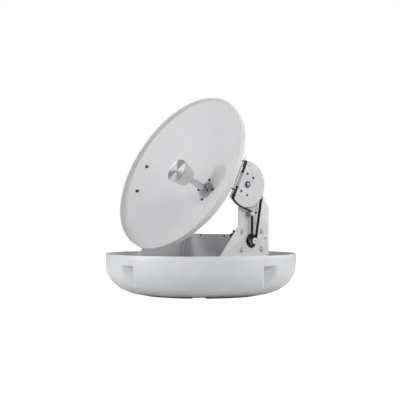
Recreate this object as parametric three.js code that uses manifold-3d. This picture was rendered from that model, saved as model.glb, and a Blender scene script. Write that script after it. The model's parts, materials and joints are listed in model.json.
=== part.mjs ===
// A stabilised marine satellite dish antenna on its turntable, in the lower half of its radome.
// Millimetres, +Z up. The origin is the centre of the foot ring's underside. +X is the elevation
// axis, towards the belt drive, and at rest the dish faces -Y.
import * as THREE from 'three';
import { mergeVertices } from 'three/addons/utils/BufferGeometryUtils.js';
import Module from 'manifold-3d';

const wasm = await Module();
wasm.setup();

// ---- Driving dimensions ----
const GAP = 0.3; // between pieces that touch

const RADOME = {
  radius: 250, wall: 3, rimHeight: 107.8, wallFoot: 78, footRadius: 154, footInner: 138,
  footHeight: 3, recessHeight: 18, yaw: 3, notchWidth: 34,
};
const POCKET = { apex: 226, ceiling: 82, floor: 16, bore: 2.4 };

const POST = { radius: 14, bore: 6, top: 66 };
const PULLEY = { radius: 60, bottom: 28, top: 36 };
const PINION = { radius: 10, x: -86, y: 22 };
const AZIMUTH_BELT = { thickness: 1.6, width: 6 };
const HUB = { inner: 20, outer: 26, flange: 42 };
const DECK = { bottom: 50, top: 53, front: -100, rear: 86, flangeTop: 74 };

const PIVOT_HEIGHT = 283.2;
const REST_ELEVATION = 26.1; // degrees, of the dish axis above the horizon
const ARM = {
  outer: 167.3, thickness: 3, rear: 86.5, front: -16.8, bottom: 50, chamferFoot: 228.5,
  chamferY: 40, chamferZ: 290.5, cornerZ: 181.5, toeY: -102, toeZ: 76,
};
const PANEL = { top: 156.8, flange: 18, depth: 3 };
const MOTOR = { y: 25.6, z: 142.5, half: 27, length: 35, tailHalf: 19, tailLength: 18.6, chamfer: 4 };
const MOTOR_PLATE = { halfY: 40, halfZ: 30, thickness: 3, bore: 20, armHole: 18.3 };
const MOTOR_BOLT = { y: 33.8, z: 22.6, slotRadius: 2.8, slotHalf: 3.8 };

const SECTOR = { inner: 172, outer: 180.4, radius: 59.06, flat: 24 };
const BELT = { plane: 175.65, width: 7.1, thickness: 2, radius: 57.3 };
const DRIVE_RADIUS = 6.2;
const IDLER = { y: 12.2, z: 209.8, radius: 6.5, link: 3.7, linkY: 12, linkZ: 3.4 };
const BRACKET = { inner: 169, thickness: 2.7, hub: 54, low: -51, high: 53, flangeSlope: 0.724 };
const PIVOT_RADIUS = 5;

const DISH = { rim: 219.7, vertex: -22.3, focal: 122.6, lip: 13, wall: 2.5, bore: 13 };
const DISH_BOLT = { u: 192, v: 38 };
const FEED = { tube: 8.5, cone: 31.5, neck: 26, coneLength: 38, face: 91.5, disc: 3 };
const HUB_SCREW_RADIUS = 29;
const COLLAR = { bore: 9.1, base: 22, baseHeight: 3.4, clamp: 14, height: 11 };
const LNB = { front: -40, back: -74, radius: 25 };
const SKEW = { gear: 30, pinion: 7, front: -31, back: -36 };

// ---- Materials ----
const finish = (color, roughness, metalness) =>
  new THREE.MeshStandardMaterial({ color, roughness, metalness });
const MATERIAL = {
  radome: () => finish(0xe6e7e9, 0.45, 0.0),
  whitePaint: () => finish(0xdcdddf, 0.5, 0.1),
  greyPaint: () => finish(0xa4a6aa, 0.55, 0.1),
  aluminium: () => finish(0xc4c6ca, 0.35, 0.9),
  steel: () => finish(0xb4b6ba, 0.25, 1.0),
  blackSteel: () => finish(0x26262a, 0.4, 0.7),
  brass: () => finish(0xb89a55, 0.35, 0.9),
  rubber: () => finish(0x141416, 0.75, 0.0),
  blackPlastic: () => finish(0x1c1c1f, 0.5, 0.0),
  whitePlastic: () => finish(0xe2e2e0, 0.45, 0.0),
  greyPlastic: () => finish(0x8f9196, 0.5, 0.0),
  board: () => finish(0x1f4a33, 0.5, 0.0),
};

// ---- Geometry helpers ----
const radians = THREE.MathUtils.degToRad;
const X_AXIS = new THREE.Vector3(1, 0, 0);
const Y_AXIS = new THREE.Vector3(0, 1, 0);
const Z_AXIS = new THREE.Vector3(0, 0, 1);

// Turns a shape whose depth runs along +Z so that it runs along +X, its x along +Y and its y along +Z.
function alongX(geometry) {
  return geometry.applyMatrix4(new THREE.Matrix4().makeBasis(Y_AXIS, Z_AXIS, X_AXIS));
}

// Turns the same shape so that its depth runs along -Y, its x along +X and its y along +Z.
function alongY(geometry) {
  return geometry.rotateX(Math.PI / 2);
}

function block(x0, x1, y0, y1, z0, z1) {
  const box = new THREE.BoxGeometry(x1 - x0, y1 - y0, z1 - z0);
  return box.translate((x0 + x1) / 2, (y0 + y1) / 2, (z0 + z1) / 2);
}

function rod(radius, z0, z1, segments = 16) {
  const cylinder = new THREE.CylinderGeometry(radius, radius, z1 - z0, segments);
  return cylinder.rotateX(Math.PI / 2).translate(0, 0, (z0 + z1) / 2);
}

// A solid of revolution about Z from a closed [radius, height] profile.
function turned(profile, segments = 20) {
  const points = profile.map(([r, z]) => new THREE.Vector2(r, z));
  if (THREE.ShapeUtils.area(points) < 0) points.reverse();
  points.push(points[0].clone());
  return new THREE.LatheGeometry(points, segments).rotateX(Math.PI / 2);
}

function ring(inner, outer, z0, z1, segments = 20) {
  return turned([[inner, z0], [outer, z0], [outer, z1], [inner, z1]], segments);
}

function outline(points) {
  return new THREE.Shape(points.map(([x, y]) => new THREE.Vector2(x, y)));
}

function slab(shape, z0, z1, curveSegments = 6) {
  const settings = { depth: z1 - z0, bevelEnabled: false, curveSegments };
  return new THREE.ExtrudeGeometry(shape, settings).translate(0, 0, z0);
}

function roundHole(shape, x, y, radius) {
  const hole = new THREE.Path();
  hole.absarc(x, y, radius, 0, 2 * Math.PI, true);
  shape.holes.push(hole);
}

function chamferedSquare(half, chamfer) {
  const short = half - chamfer;
  return outline([[half, -short], [half, short], [short, half], [-short, half], [-half, short],
    [-half, -short], [-short, -half], [short, -half]]);
}

function slotHole(shape, x, y, radius, halfLength) {
  const hole = new THREE.Path();
  hole.absarc(x, y + halfLength, radius, 0, Math.PI, false);
  hole.absarc(x, y - halfLength, radius, Math.PI, 2 * Math.PI, false);
  shape.holes.push(hole);
}

function solid(geometry) {
  const bare = geometry.clone();
  bare.deleteAttribute('normal');
  bare.deleteAttribute('uv');
  const merged = mergeVertices(bare, 1e-4);
  const index = merged.index.array;
  const triVerts = [];
  for (let i = 0; i < index.length; i += 3) {
    const [a, b, c] = [index[i], index[i + 1], index[i + 2]];
    if (a !== b && b !== c && c !== a) triVerts.push(a, b, c);
  }
  const vertProperties = merged.attributes.position.array;
  return new wasm.Manifold(
    new wasm.Mesh({ numProp: 3, vertProperties, triVerts: new Uint32Array(triVerts) }));
}

function geometryOf(manifold) {
  const { vertProperties, triVerts } = manifold.getMesh();
  const geometry = new THREE.BufferGeometry();
  geometry.setAttribute('position', new THREE.BufferAttribute(vertProperties, 3));
  geometry.setIndex(new THREE.BufferAttribute(triVerts, 1));
  geometry.computeVertexNormals();
  return geometry;
}

function cut(geometry, ...tools) {
  return geometryOf(tools.reduce((body, tool) => body.subtract(solid(tool)), solid(geometry)));
}

function join(geometry, ...others) {
  return geometryOf(others.reduce((body, other) => body.add(solid(other)), solid(geometry)));
}

function part(group, name, geometry, material) {
  const mesh = new THREE.Mesh(geometry, material);
  mesh.name = name;
  group.add(mesh);
  return mesh;
}

// ---- Plane geometry of belts ----
const polar = (centre, radius, angle) =>
  [centre[0] + radius * Math.cos(angle), centre[1] + radius * Math.sin(angle)];

function arc(centre, radius, from, to, steps) {
  return Array.from({ length: steps + 1 },
    (_, i) => polar(centre, radius, from + (to - from) * i / steps));
}

// The angle at which a tangent leaves circle a for circle b; a negative radius crosses over.
function tangentAngle(a, radiusA, b, radiusB, side) {
  const [dx, dy] = [b[0] - a[0], b[1] - a[1]];
  return Math.atan2(dy, dx) + side * Math.acos((radiusA - radiusB) / Math.hypot(dx, dy));
}

// One side of a path, offset to its left.
function offset(points, distance, closed = false) {
  const last = points.length - 1;
  return points.map(([x, y], i) => {
    const before = points[closed ? (i + last) % (last + 1) : Math.max(i - 1, 0)];
    const after = points[closed ? (i + 1) % (last + 1) : Math.min(i + 1, last)];
    const [dx, dy] = [after[0] - before[0], after[1] - before[1]];
    const length = Math.hypot(dx, dy);
    return [x - dy / length * distance, y + dx / length * distance];
  });
}

function openBelt(path, thickness, from, to) {
  const edges = [...offset(path, thickness / 2), ...offset(path, -thickness / 2).reverse()];
  return slab(outline(edges), from, to);
}

function closedBelt(path, thickness, from, to) {
  const shape = outline(offset(path, -thickness / 2, true));
  const inside = new THREE.Path();
  inside.setFromPoints(outline(offset(path, thickness / 2, true)).getPoints());
  shape.holes.push(inside);
  return slab(shape, from, to);
}

// ---- The lower radome ----
function radomeProfile(inset) {
  const { radius, rimHeight, wallFoot, footRadius, footHeight } = RADOME;
  const centre = footRadius + 3;
  const across = radius - centre - inset;
  const down = wallFoot - footHeight - inset;
  const steps = inset > 0 ? 6 : 7;
  const side = [];
  for (let i = 0; i <= steps; i++) {
    const angle = Math.PI / 2 * i / steps;
    side.push([centre + across * Math.sin(angle), wallFoot - down * Math.cos(angle)]);
  }
  const rim = inset > 0 ? [[radius - inset, rimHeight]]
    : [[radius, rimHeight - 1.5], [radius - 0.6, rimHeight - 0.4], [radius - 1.4, rimHeight]];
  return [...side, ...rim];
}

function lowerRadome() {
  const { wall, footRadius, footInner, recessHeight, notchWidth, rimHeight } = RADOME;
  const outside = radomeProfile(0);
  const inside = radomeProfile(wall);
  const recess = [[footInner, 0], [footInner - 2, recessHeight], [0, recessHeight]];
  const floor = [[0, recessHeight + wall], [footInner + 1, recessHeight + wall],
    [footInner + 4, 6]];
  const shell = turned(
    [...recess.toReversed(), [footRadius, 0], ...outside, ...inside.toReversed(),
      ...floor.toReversed()], 40);
  const core = turned([[0, 3], ...outside, [0, rimHeight]], 40);

  // Each pocket is a right-angled notch in the side, closed above, that the upper radome's
  // screw is driven up through.
  const wedge = (apex, z0, z1) => {
    const reach = 60;
    const shape = outline([[apex, 0], [apex + reach, -reach], [apex + reach, reach]]);
    return slab(shape, z0, z1);
  };
  const pocketWall = solid(core)
    .intersect(solid(wedge(POCKET.apex - wall * Math.SQRT2, POCKET.floor, POCKET.ceiling + wall)));
  const boss = solid(rod(6, POCKET.ceiling, rimHeight - 8, 12).translate(POCKET.apex + 14, 0, 0));
  const bore = solid(rod(POCKET.bore, 70, rimHeight - 12, 8).translate(POCKET.apex + 14, 0, 0));
  const notch = solid(block(footInner - 8, footRadius + 8, -notchWidth / 2, notchWidth / 2, -1, 3));
  let body = solid(shell);
  for (let i = 0; i < 4; i++) {
    const turn = (tool, extra = 0) => tool.rotate([0, 0, RADOME.yaw + 90 * i + extra]);
    body = body.add(turn(pocketWall)).add(turn(boss));
    body = body.subtract(turn(solid(wedge(POCKET.apex, 2, POCKET.ceiling))));
    body = body.subtract(turn(bore)).subtract(turn(notch, 45));
  }
  for (const [x, y, radius] of CONNECTORS) {
    body = body.subtract(solid(rod(radius + GAP, 10, 30, 16).translate(x, y, 0)));
  }
  return geometryOf(body);
}

const CONNECTORS = [[-60, -90, 5.5], [60, -90, 8]];

function connector(radius) {
  const { recessHeight, wall } = RADOME;
  const top = recessHeight + wall;
  return turned([[0, 6], [radius - 1.5, 6], [radius - 1.5, 14], [radius + 2.5, 14],
    [radius + 2.5, recessHeight - GAP], [radius, recessHeight - GAP], [radius, top + 9],
    [0, top + 9]], 12);
}

function buildBase(group) {
  const deck = RADOME.recessHeight + RADOME.wall;
  part(group, 'lower_radome', lowerRadome(), MATERIAL.radome());
  const foot = deck + GAP;
  part(group, 'azimuth_post', turned([[POST.bore, foot], [40, foot], [40, PULLEY.bottom - GAP],
    [POST.radius, PULLEY.bottom - GAP], [POST.radius, POST.top], [POST.bore, POST.top]], 20),
  MATERIAL.steel());
  const pulley = ring(POST.radius + GAP, PULLEY.radius, PULLEY.bottom, PULLEY.top, 32);
  part(group, 'azimuth_pulley', pulley, MATERIAL.aluminium());
  for (const [i, z] of [[1, 40], [2, 57]]) {
    const race = ring(POST.radius + GAP, HUB.inner - GAP, z, z + 6, 20);
    part(group, `azimuth_bearing_${i}`, race, MATERIAL.steel());
  }
  ['coax_connector', 'power_connector'].forEach((name, i) => {
    const [x, y, radius] = CONNECTORS[i];
    part(group, name, connector(radius).translate(x, y, 0),
      i === 0 ? MATERIAL.brass() : MATERIAL.blackPlastic());
  });
}

// ---- The turntable ----
function armPlate(isDriven) {
  const shape = new THREE.Shape();
  const head = -ARM.front;
  shape.moveTo(ARM.rear, ARM.bottom);
  shape.lineTo(ARM.rear, ARM.chamferFoot);
  shape.lineTo(ARM.chamferY, ARM.chamferZ);
  shape.absarc(0, PIVOT_HEIGHT, head, radians(72), Math.PI, false);
  shape.lineTo(ARM.front, ARM.cornerZ);
  shape.lineTo(ARM.toeY, ARM.toeZ);
  shape.lineTo(ARM.toeY, ARM.bottom);
  roundHole(shape, 0, PIVOT_HEIGHT, 9);
  if (isDriven) {
    const { slotRadius, slotHalf } = MOTOR_BOLT;
    roundHole(shape, MOTOR.y, MOTOR.z, MOTOR_PLATE.armHole);
    for (const [y, z] of motorBoltPlaces()) slotHole(shape, y, z, slotRadius, slotHalf);
  }
  const inner = ARM.outer - ARM.thickness;
  return alongX(slab(shape, isDriven ? inner : -ARM.outer, isDriven ? ARM.outer : -inner));
}

function motorBoltPlaces() {
  return [[-1, -1], [1, -1], [-1, 1], [1, 1]]
    .map(([a, b]) => [MOTOR.y + a * MOTOR_BOLT.y, MOTOR.z + b * MOTOR_BOLT.z]);
}

function deckPlate() {
  const half = ARM.outer - ARM.thickness - GAP;
  const section = outline([[-half, DECK.bottom], [half, DECK.bottom], [half, DECK.flangeTop],
    [half - 3, DECK.flangeTop], [half - 3, DECK.top], [3 - half, DECK.top],
    [3 - half, DECK.flangeTop], [-half, DECK.flangeTop]]);
  const channel = alongY(slab(section, -DECK.rear + 6, -DECK.front));
  return cut(channel, rod(HUB.outer + GAP, 40, 60, 24),
    rod(14, 40, 60).translate(PINION.x, PINION.y, 0),
    rod(22, 40, 60).translate(95, -50, 0), rod(22, 40, 60).translate(-95, -50, 0));
}

function rearPanel() {
  const half = ARM.outer - ARM.thickness - GAP;
  const { flange, depth } = PANEL;
  const front = ARM.rear - flange;
  const section = outline([[-half, front], [depth - half, front], [depth - half, ARM.rear - depth],
    [half - depth, ARM.rear - depth], [half - depth, front], [half, front], [half, ARM.rear],
    [-half, ARM.rear]]);
  const sheet = slab(section, DECK.flangeTop + 1, PANEL.top);
  const lower = block(-half + 4, half - 4, ARM.rear - depth, ARM.rear, DECK.top + GAP,
    DECK.flangeTop + 1);
  const wireSlot = block(-40, 40, ARM.rear - 10, ARM.rear + 5, 52, 70);
  return cut(join(sheet, lower), wireSlot);
}

function controlBox(group) {
  const [y0, y1] = [ARM.rear + GAP, ARM.rear + 34];
  const [z0, z1] = [72, 150];
  const half = 112;
  const wall = 2.5;
  const tray = cut(block(-half, half, y0, y1, z0, z1),
    block(-half + wall, half - wall, y0 + wall, y1 + 5, z0 + wall, z1 - wall));
  part(group, 'control_box', tray, MATERIAL.greyPaint());
  const lid = join(block(-half, half, y1 + GAP, y1 + GAP + 2, z0, z1),
    block(-half + wall + GAP, half - wall - GAP, y1 - 5, y1 + GAP + 1, z1 - wall - GAP - 2,
      z1 - wall - GAP));
  part(group, 'control_box_lid', lid, MATERIAL.greyPaint());
  const board = cut(block(-half + 8, half - 8, y0 + 10, y0 + 11.6, z0 + 8, z1 - 8),
    alongY(rod(2, -y0 - 20, -y0, 10)).translate(-half + 14, 0, z0 + 14),
    alongY(rod(2, -y0 - 20, -y0, 10)).translate(half - 14, 0, z0 + 14));
  part(group, 'control_board', board, MATERIAL.board());
}

function elevationDrive(group) {
  const inner = ARM.outer - ARM.thickness - GAP;
  const { y, z, half, length, tailHalf, tailLength, chamfer } = MOTOR;
  const { halfY, halfZ, thickness, bore } = MOTOR_PLATE;
  const shape = outline([[y - halfY, z - halfZ], [y + halfY, z - halfZ], [y + halfY, z + halfZ],
    [y - halfY, z + halfZ]]);
  roundHole(shape, y, z, bore);
  for (const [boltY, boltZ] of motorBoltPlaces()) roundHole(shape, boltY, boltZ, 2.6);
  part(group, 'motor_plate', alongX(slab(shape, inner - thickness, inner)), MATERIAL.greyPaint());

  // The motor is a square can with a smaller square tail, and its shaft hole faces the arm.
  const front = inner - thickness - GAP;
  const can = slab(chamferedSquare(half, chamfer), front - length, front);
  const tail = slab(chamferedSquare(tailHalf, chamfer), front - length - tailLength,
    front - length + 1);
  const motor = cut(join(can, tail), rod(4, front - 8, front + 1));
  part(group, 'elevation_motor', alongX(motor).translate(0, y, z), MATERIAL.blackPlastic());

  motorBoltPlaces().forEach(([boltY, boltZ], i) => {
    const face = ARM.outer + GAP;
    const screw = turned([[0, inner - 6], [2.2, inner - 6], [2.2, face], [3.9, face],
      [3.9, face + 1.2], [3.4, face + 1.3], [3.2, face + 3.4], [0, face + 3.8]], 8);
    part(group, `motor_screw_${i + 1}`, alongX(screw).translate(0, boltY, boltZ),
      MATERIAL.steel());
  });

  const { y: idlerY, z: idlerZ, link, linkY, linkZ } = IDLER;
  const lozenge = new THREE.Shape();
  const lean = Math.atan2(linkZ, linkY);
  const [above, below] = [lean + Math.PI / 2, lean + Math.PI * 3 / 2];
  lozenge.absarc(idlerY, idlerZ, link, above, below, false);
  lozenge.absarc(idlerY + linkY, idlerZ + linkZ, link, below, above + 2 * Math.PI, false);
  const stand = alongX(rod(3.2, ARM.outer + GAP, 183, 16))
    .translate(0, idlerY + linkY, idlerZ + linkZ);
  const pin = alongX(rod(2, ARM.outer + GAP, 183, 14)).translate(0, idlerY, idlerZ);
  part(group, 'idler_bracket', join(alongX(slab(lozenge, 182, 184)), stand, pin),
    MATERIAL.whitePaint());
}

function beltCircles() {
  return { sector: [0, PIVOT_HEIGHT], drive: [MOTOR.y, MOTOR.z], idler: [IDLER.y, IDLER.z] };
}

// The straight runs of the elevation belt with its turns round the drive pulley and over the idler.
function elevationBeltRun() {
  const { sector, drive, idler } = beltCircles();
  const back = IDLER.radius + BELT.thickness / 2;
  const right = tangentAngle(sector, BELT.radius, drive, DRIVE_RADIUS, 1);
  const left = tangentAngle(sector, BELT.radius, idler, -back, -1);
  const rise = tangentAngle(drive, DRIVE_RADIUS, idler, -back, 1);
  const clear = BELT.radius + BELT.thickness + GAP + 0.1;
  const lead = Math.sqrt(clear ** 2 - BELT.radius ** 2);
  const ahead = (point, angle, distance) =>
    [point[0] + distance * Math.cos(angle), point[1] + distance * Math.sin(angle)];
  const path = [
    ahead(polar(sector, BELT.radius, right), right - Math.PI / 2, lead),
    ...arc(drive, DRIVE_RADIUS, right, rise - 2 * Math.PI, 10),
    ...arc(idler, back, rise - Math.PI, left + Math.PI, 6),
    ahead(polar(sector, BELT.radius, left), left + Math.PI / 2, lead),
  ];
  const half = BELT.width / 2;
  return alongX(openBelt(path, BELT.thickness, BELT.plane - half, BELT.plane + half));
}

function azimuthBelt() {
  const pulley = PULLEY.radius + GAP + AZIMUTH_BELT.thickness / 2;
  const pinion = PINION.radius + GAP + AZIMUTH_BELT.thickness / 2;
  const centre = [0, 0];
  const other = [PINION.x, PINION.y];
  const a = tangentAngle(centre, pulley, other, pinion, 1);
  const b = tangentAngle(centre, pulley, other, pinion, -1);
  const path = [...arc(centre, pulley, a - 2 * Math.PI, b, 36).toReversed(),
    ...arc(other, pinion, b, a, 12).toReversed()];
  const middle = (PULLEY.bottom + PULLEY.top) / 2;
  const half = AZIMUTH_BELT.width / 2;
  return closedBelt(path.toReversed(), AZIMUTH_BELT.thickness, middle - half, middle + half);
}

function buildTurntable(group) {
  part(group, 'turntable_plate', deckPlate(), MATERIAL.whitePaint());
  part(group, 'turntable_hub', turned([[HUB.inner, 39], [HUB.outer, 39],
    [HUB.outer, DECK.top + GAP], [HUB.flange, DECK.top + GAP], [HUB.flange, DECK.top + 4],
    [HUB.outer, DECK.top + 4], [HUB.outer, 64], [HUB.inner, 64]], 20), MATERIAL.aluminium());
  part(group, 'right_arm', armPlate(true), MATERIAL.whitePaint());
  part(group, 'left_arm', armPlate(false), MATERIAL.whitePaint());
  part(group, 'rear_panel', rearPanel(), MATERIAL.whitePaint());
  controlBox(group);
  elevationDrive(group);
  part(group, 'elevation_belt_run', elevationBeltRun(), MATERIAL.rubber());
  part(group, 'azimuth_belt', azimuthBelt(), MATERIAL.rubber());
  const motorFloor = DECK.top + GAP;
  const azimuthMotor = turned([[4.5, motorFloor], [24, motorFloor], [24, 92], [21, 95],
    [4.5, 95]], 20);
  part(group, 'azimuth_motor', azimuthMotor.translate(PINION.x, PINION.y, 0),
    MATERIAL.blackPlastic());
  for (const [name, side] of [['right_bearing', 1], ['left_bearing', -1]]) {
    const inner = ARM.outer - ARM.thickness;
    const bush = turned([[PIVOT_RADIUS + GAP, inner - 4], [12.5, inner - 4], [12.5, inner - GAP],
      [8.7, inner - GAP], [8.7, ARM.outer + 1], [PIVOT_RADIUS + GAP, ARM.outer + 1]], 16);
    const placed = alongX(bush).translate(0, 0, PIVOT_HEIGHT);
    if (side < 0) placed.rotateZ(Math.PI);
    part(group, name, placed, MATERIAL.brass());
  }
}

// ---- Spinning drive pieces ----
function buildSpinners(group) {
  const { plane, width, thickness } = BELT;
  const body = DRIVE_RADIUS - thickness / 2 - GAP;
  const motorFace = ARM.outer - ARM.thickness - MOTOR_PLATE.thickness - 2 * GAP;
  const low = plane - width / 2 - GAP;
  const high = plane + width / 2 + GAP;
  const pulley = turned([[0, motorFace - 6], [3, motorFace - 6], [3, low - 1.6], [8, low - 1.6],
    [8, low], [body, low], [body, high], [8, high], [8, high + 1.2], [7.2, high + 1.7],
    [0, high + 1.7]], 16);
  part(group, 'elevation_pulley', alongX(pulley).translate(0, MOTOR.y, MOTOR.z),
    MATERIAL.whitePlastic());
  const roller = ring(2 + GAP, IDLER.radius - GAP, 171, 181, 20);
  part(group, 'idler_roller', alongX(roller).translate(0, IDLER.y, IDLER.z),
    MATERIAL.greyPlastic());
  const pinion = turned([[0, PULLEY.bottom], [PINION.radius, PULLEY.bottom],
    [PINION.radius, PULLEY.top], [4, PULLEY.top], [4, 85], [0, 85]], 20);
  part(group, 'azimuth_pinion', pinion.translate(PINION.x, PINION.y, 0), MATERIAL.brass());
}

// ---- The dish: u is X, v is up in the rim's plane, d is forward along the dish's axis ----
const dishDepth = (radius) => DISH.vertex + radius ** 2 / (4 * DISH.focal);

function reflector() {
  const { rim, lip, wall, bore } = DISH;
  const inner = rim - wall;
  const steps = 6;
  const face = [];
  for (let i = 0; i <= steps; i++) {
    const radius = bore + (inner - bore) * i / steps;
    face.push([radius, dishDepth(radius)]);
  }
  const edge = dishDepth(inner) + lip;
  const back = face.map(([radius, depth]) => {
    const slope = radius / (2 * DISH.focal);
    return [radius, depth - wall * Math.hypot(1, slope)];
  });
  back[steps] = [rim, back[steps][1] + 1.5];
  const bowl = turned([...face, [inner, edge], [rim, edge], ...back.toReversed()], 40);
  const drills = [];
  for (const [u, v] of dishBoltPlaces()) {
    drills.push(onDishNormal(rod(2.3, -20, 20, 8), u, v));
  }
  for (let i = 0; i < 4; i++) {
    const [u, v] = polar([0, 0], HUB_SCREW_RADIUS, i * Math.PI / 2);
    drills.push(rod(1.9, -40, 0, 8).translate(u, v, 0));
  }
  return cut(bowl, ...drills);
}

function dishBoltPlaces() {
  const { u, v } = DISH_BOLT;
  return [[u, v], [u, -v], [-u, v], [-u, -v]];
}

// Moves a shape made about Z so that its origin sits on the dish's face and Z is the face's normal.
function onDishNormal(geometry, u, v) {
  const normal = new THREE.Vector3(-u, -v, 2 * DISH.focal).normalize();
  const turn = new THREE.Quaternion().setFromUnitVectors(Z_AXIS, normal);
  return geometry.applyQuaternion(turn).translate(u, v, dishDepth(Math.hypot(u, v)));
}

function sideBracket() {
  const { inner, thickness, hub, low, high, flangeSlope } = BRACKET;
  const shape = new THREE.Shape();
  const top = 31;
  const shoulder = 10;
  shape.moveTo(low, top);
  shape.lineTo(low, shoulder);
  shape.absarc(0, 0, hub, Math.PI - Math.atan2(shoulder, -low),
    2 * Math.PI + Math.atan2(shoulder, high), false);
  shape.lineTo(high, top);
  const plate = alongX(slab(shape, inner, inner + thickness));
  const reach = 198 - inner;
  const base = 28;
  const section = outline([[inner, base], [inner + reach, base + reach * flangeSlope],
    [inner + reach, base + reach * flangeSlope + 3], [inner, base + 3]]);
  // The flange's section lies in the plane of u and d, and its length runs along v.
  const flange = alongY(slab(section, -high, -low));
  const drills = dishBoltPlaces().slice(0, 2)
    .map(([u, v]) => onDishNormal(rod(2.3, -20, 0, 10), u, v));
  drills.push(alongX(rod(PIVOT_RADIUS + GAP, inner - 5, inner + 10, 20)));
  for (const [v, d] of sectorScrewPlaces()) {
    drills.push(alongX(rod(1.8, inner - 5, inner + 10, 10)).translate(0, v, d));
  }
  const windows = [[-47, -21], [27, 47]]
    .map(([from, to]) => block(inner - 5, inner + 3, from, to, 20, 27.5));
  return cut(join(plate, flange), ...drills, ...windows);
}

function sectorScrewPlaces() {
  return [[24.2, 12], [24.2, -10], [-24.2, 12], [-24.2, -10]];
}

function beltSector() {
  const { inner, outer, radius, flat } = SECTOR;
  const groove = BELT.radius - BELT.thickness / 2 - GAP;
  const flange = BELT.plane + BELT.width / 2 + GAP / 2;
  const disc = turned([[PIVOT_RADIUS + GAP, inner], [groove, inner], [groove, flange],
    [radius, flange], [radius, outer], [PIVOT_RADIUS + GAP, outer]], 40);
  const drills = sectorScrewPlaces()
    .map(([v, d]) => alongX(rod(1.8, inner - 5, outer + 5, 10)).translate(0, v, d));
  const slit = block(outer - 1.2, outer + 5, -38.6, -37.6, -11, 30);
  const off = block(inner - 5, outer + 5, -80, 80, flat, 90);
  // The flange is left out at the lower end, where the belt comes off over a smaller rim.
  const bare = solid(block(flange - 0.1, outer + 5, -80, -12, -80, 80))
    .subtract(solid(alongX(rod(groove + 0.7, inner - 5, outer + 10, 40))));
  return cut(alongX(disc), off, slit, geometryOf(bare), ...drills);
}

// The belt lies round the whole rim of the sector, between its flange and the bracket, and turns
// over its corners onto the flat.
function beltArc() {
  const tail = SECTOR.flat + GAP + BELT.thickness / 2;
  const corner = Math.asin(tail / BELT.radius);
  const round = arc([0, 0], BELT.radius, corner, -Math.PI - corner, 24);
  const path = [[21, tail], [48.5, tail], ...round, [-48.5, tail], [-17.5, tail]];
  const half = BELT.width / 2;
  return alongX(openBelt(path, BELT.thickness, BELT.plane - half, BELT.plane + half));
}

function beltClamp() {
  const low = SECTOR.flat + 2 * GAP + BELT.thickness;
  return block(SECTOR.inner, SECTOR.outer, -6, 6, low, low + 3.1);
}

function pivotShaft(outerEnd) {
  const inner = ARM.outer - ARM.thickness - 4 - GAP;
  return alongX(turned([[0, inner - 3], [9, inner - 3], [9, inner], [PIVOT_RADIUS, inner],
    [PIVOT_RADIUS, outerEnd - 1], [PIVOT_RADIUS - 1, outerEnd], [0, outerEnd]], 16));
}

function buildDish(group) {
  part(group, 'reflector', reflector(), MATERIAL.whitePaint());
  part(group, 'right_bracket', sideBracket(), MATERIAL.whitePaint());
  // The left bracket is the right one turned half round the dish's axis.
  part(group, 'left_bracket', sideBracket().rotateZ(Math.PI), MATERIAL.whitePaint());
  part(group, 'belt_sector', beltSector(), MATERIAL.greyPlastic());
  part(group, 'belt_arc', beltArc(), MATERIAL.rubber());
  part(group, 'belt_clamp_upper', beltClamp().translate(0, 41, 0), MATERIAL.blackPlastic());
  part(group, 'belt_clamp_lower', beltClamp().translate(0, -40, 0), MATERIAL.blackPlastic());
  sectorScrewPlaces().forEach(([v, d], i) => {
    const from = BRACKET.inner + 0.4;
    const screw = turned([[0, from], [1.5, from], [1.5, SECTOR.outer + GAP],
      [2.9, SECTOR.outer + GAP], [2.9, SECTOR.outer + 1.4], [1.6, SECTOR.outer + 2.1],
      [0, SECTOR.outer + 2.1]], 8);
    part(group, `sector_screw_${i + 1}`, alongX(screw).translate(0, v, d), MATERIAL.blackSteel());
  });
  dishBoltPlaces().forEach(([u, v], i) => {
    const bolt = turned([[0, 4], [3, 4], [4.2, 2.2], [4.2, 1.1], [1.9, 1.1], [1.9, -11.2],
      [3.9, -11.2], [3.9, -14.6], [0, -14.6]], 8);
    part(group, `dish_bolt_${i + 1}`, onDishNormal(bolt, u, v), MATERIAL.blackSteel());
  });
  part(group, 'right_pivot_shaft', pivotShaft(SECTOR.outer + 4.4), MATERIAL.steel());
  const leftEnd = BRACKET.inner + BRACKET.thickness + 4;
  part(group, 'left_pivot_shaft', pivotShaft(leftEnd).rotateZ(Math.PI), MATERIAL.steel());
  const nut = ring(PIVOT_RADIUS + GAP, 7.8, SECTOR.outer + GAP, SECTOR.outer + 3.6, 20);
  part(group, 'pivot_ring', alongX(nut), MATERIAL.blackSteel());
  buildFeedMount(group);
}

// The collar clamps a sleeve for the feed tube to the dish, between four screws of its own.
function buildFeedMount(group) {
  const { bore, base, baseHeight, clamp, height } = COLLAR;
  const seat = DISH.vertex + 1.9;
  const lug = alongX(rod(3.6, clamp - 4, clamp + 1.6, 12)).translate(0, -4, seat + 6.4);
  const collar = turned([[bore, seat], [base, seat], [base, seat + baseHeight],
    [clamp, seat + baseHeight], [clamp, seat + height], [bore, seat + height]], 24);
  part(group, 'feed_collar', join(collar, lug), MATERIAL.greyPaint());
  for (let i = 0; i < 4; i++) {
    const [u, v] = polar([0, 0], HUB_SCREW_RADIUS, i * Math.PI / 2);
    const head = dishDepth(HUB_SCREW_RADIUS + 4) + 0.9;
    const screw = turned([[0, -30], [1.6, -30], [1.6, head], [3.4, head], [3.4, head + 1.6],
      [2.2, head + 2.6], [0, head + 2.6]], 8);
    part(group, `hub_screw_${i + 1}`, screw.translate(u, v, 0), MATERIAL.blackSteel());
  }
}

// The skew motor hangs behind the dish on an ear, and its pinion meets the skew gear's edge.
const skewPinionAt = SKEW.gear + SKEW.pinion + GAP;

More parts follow.
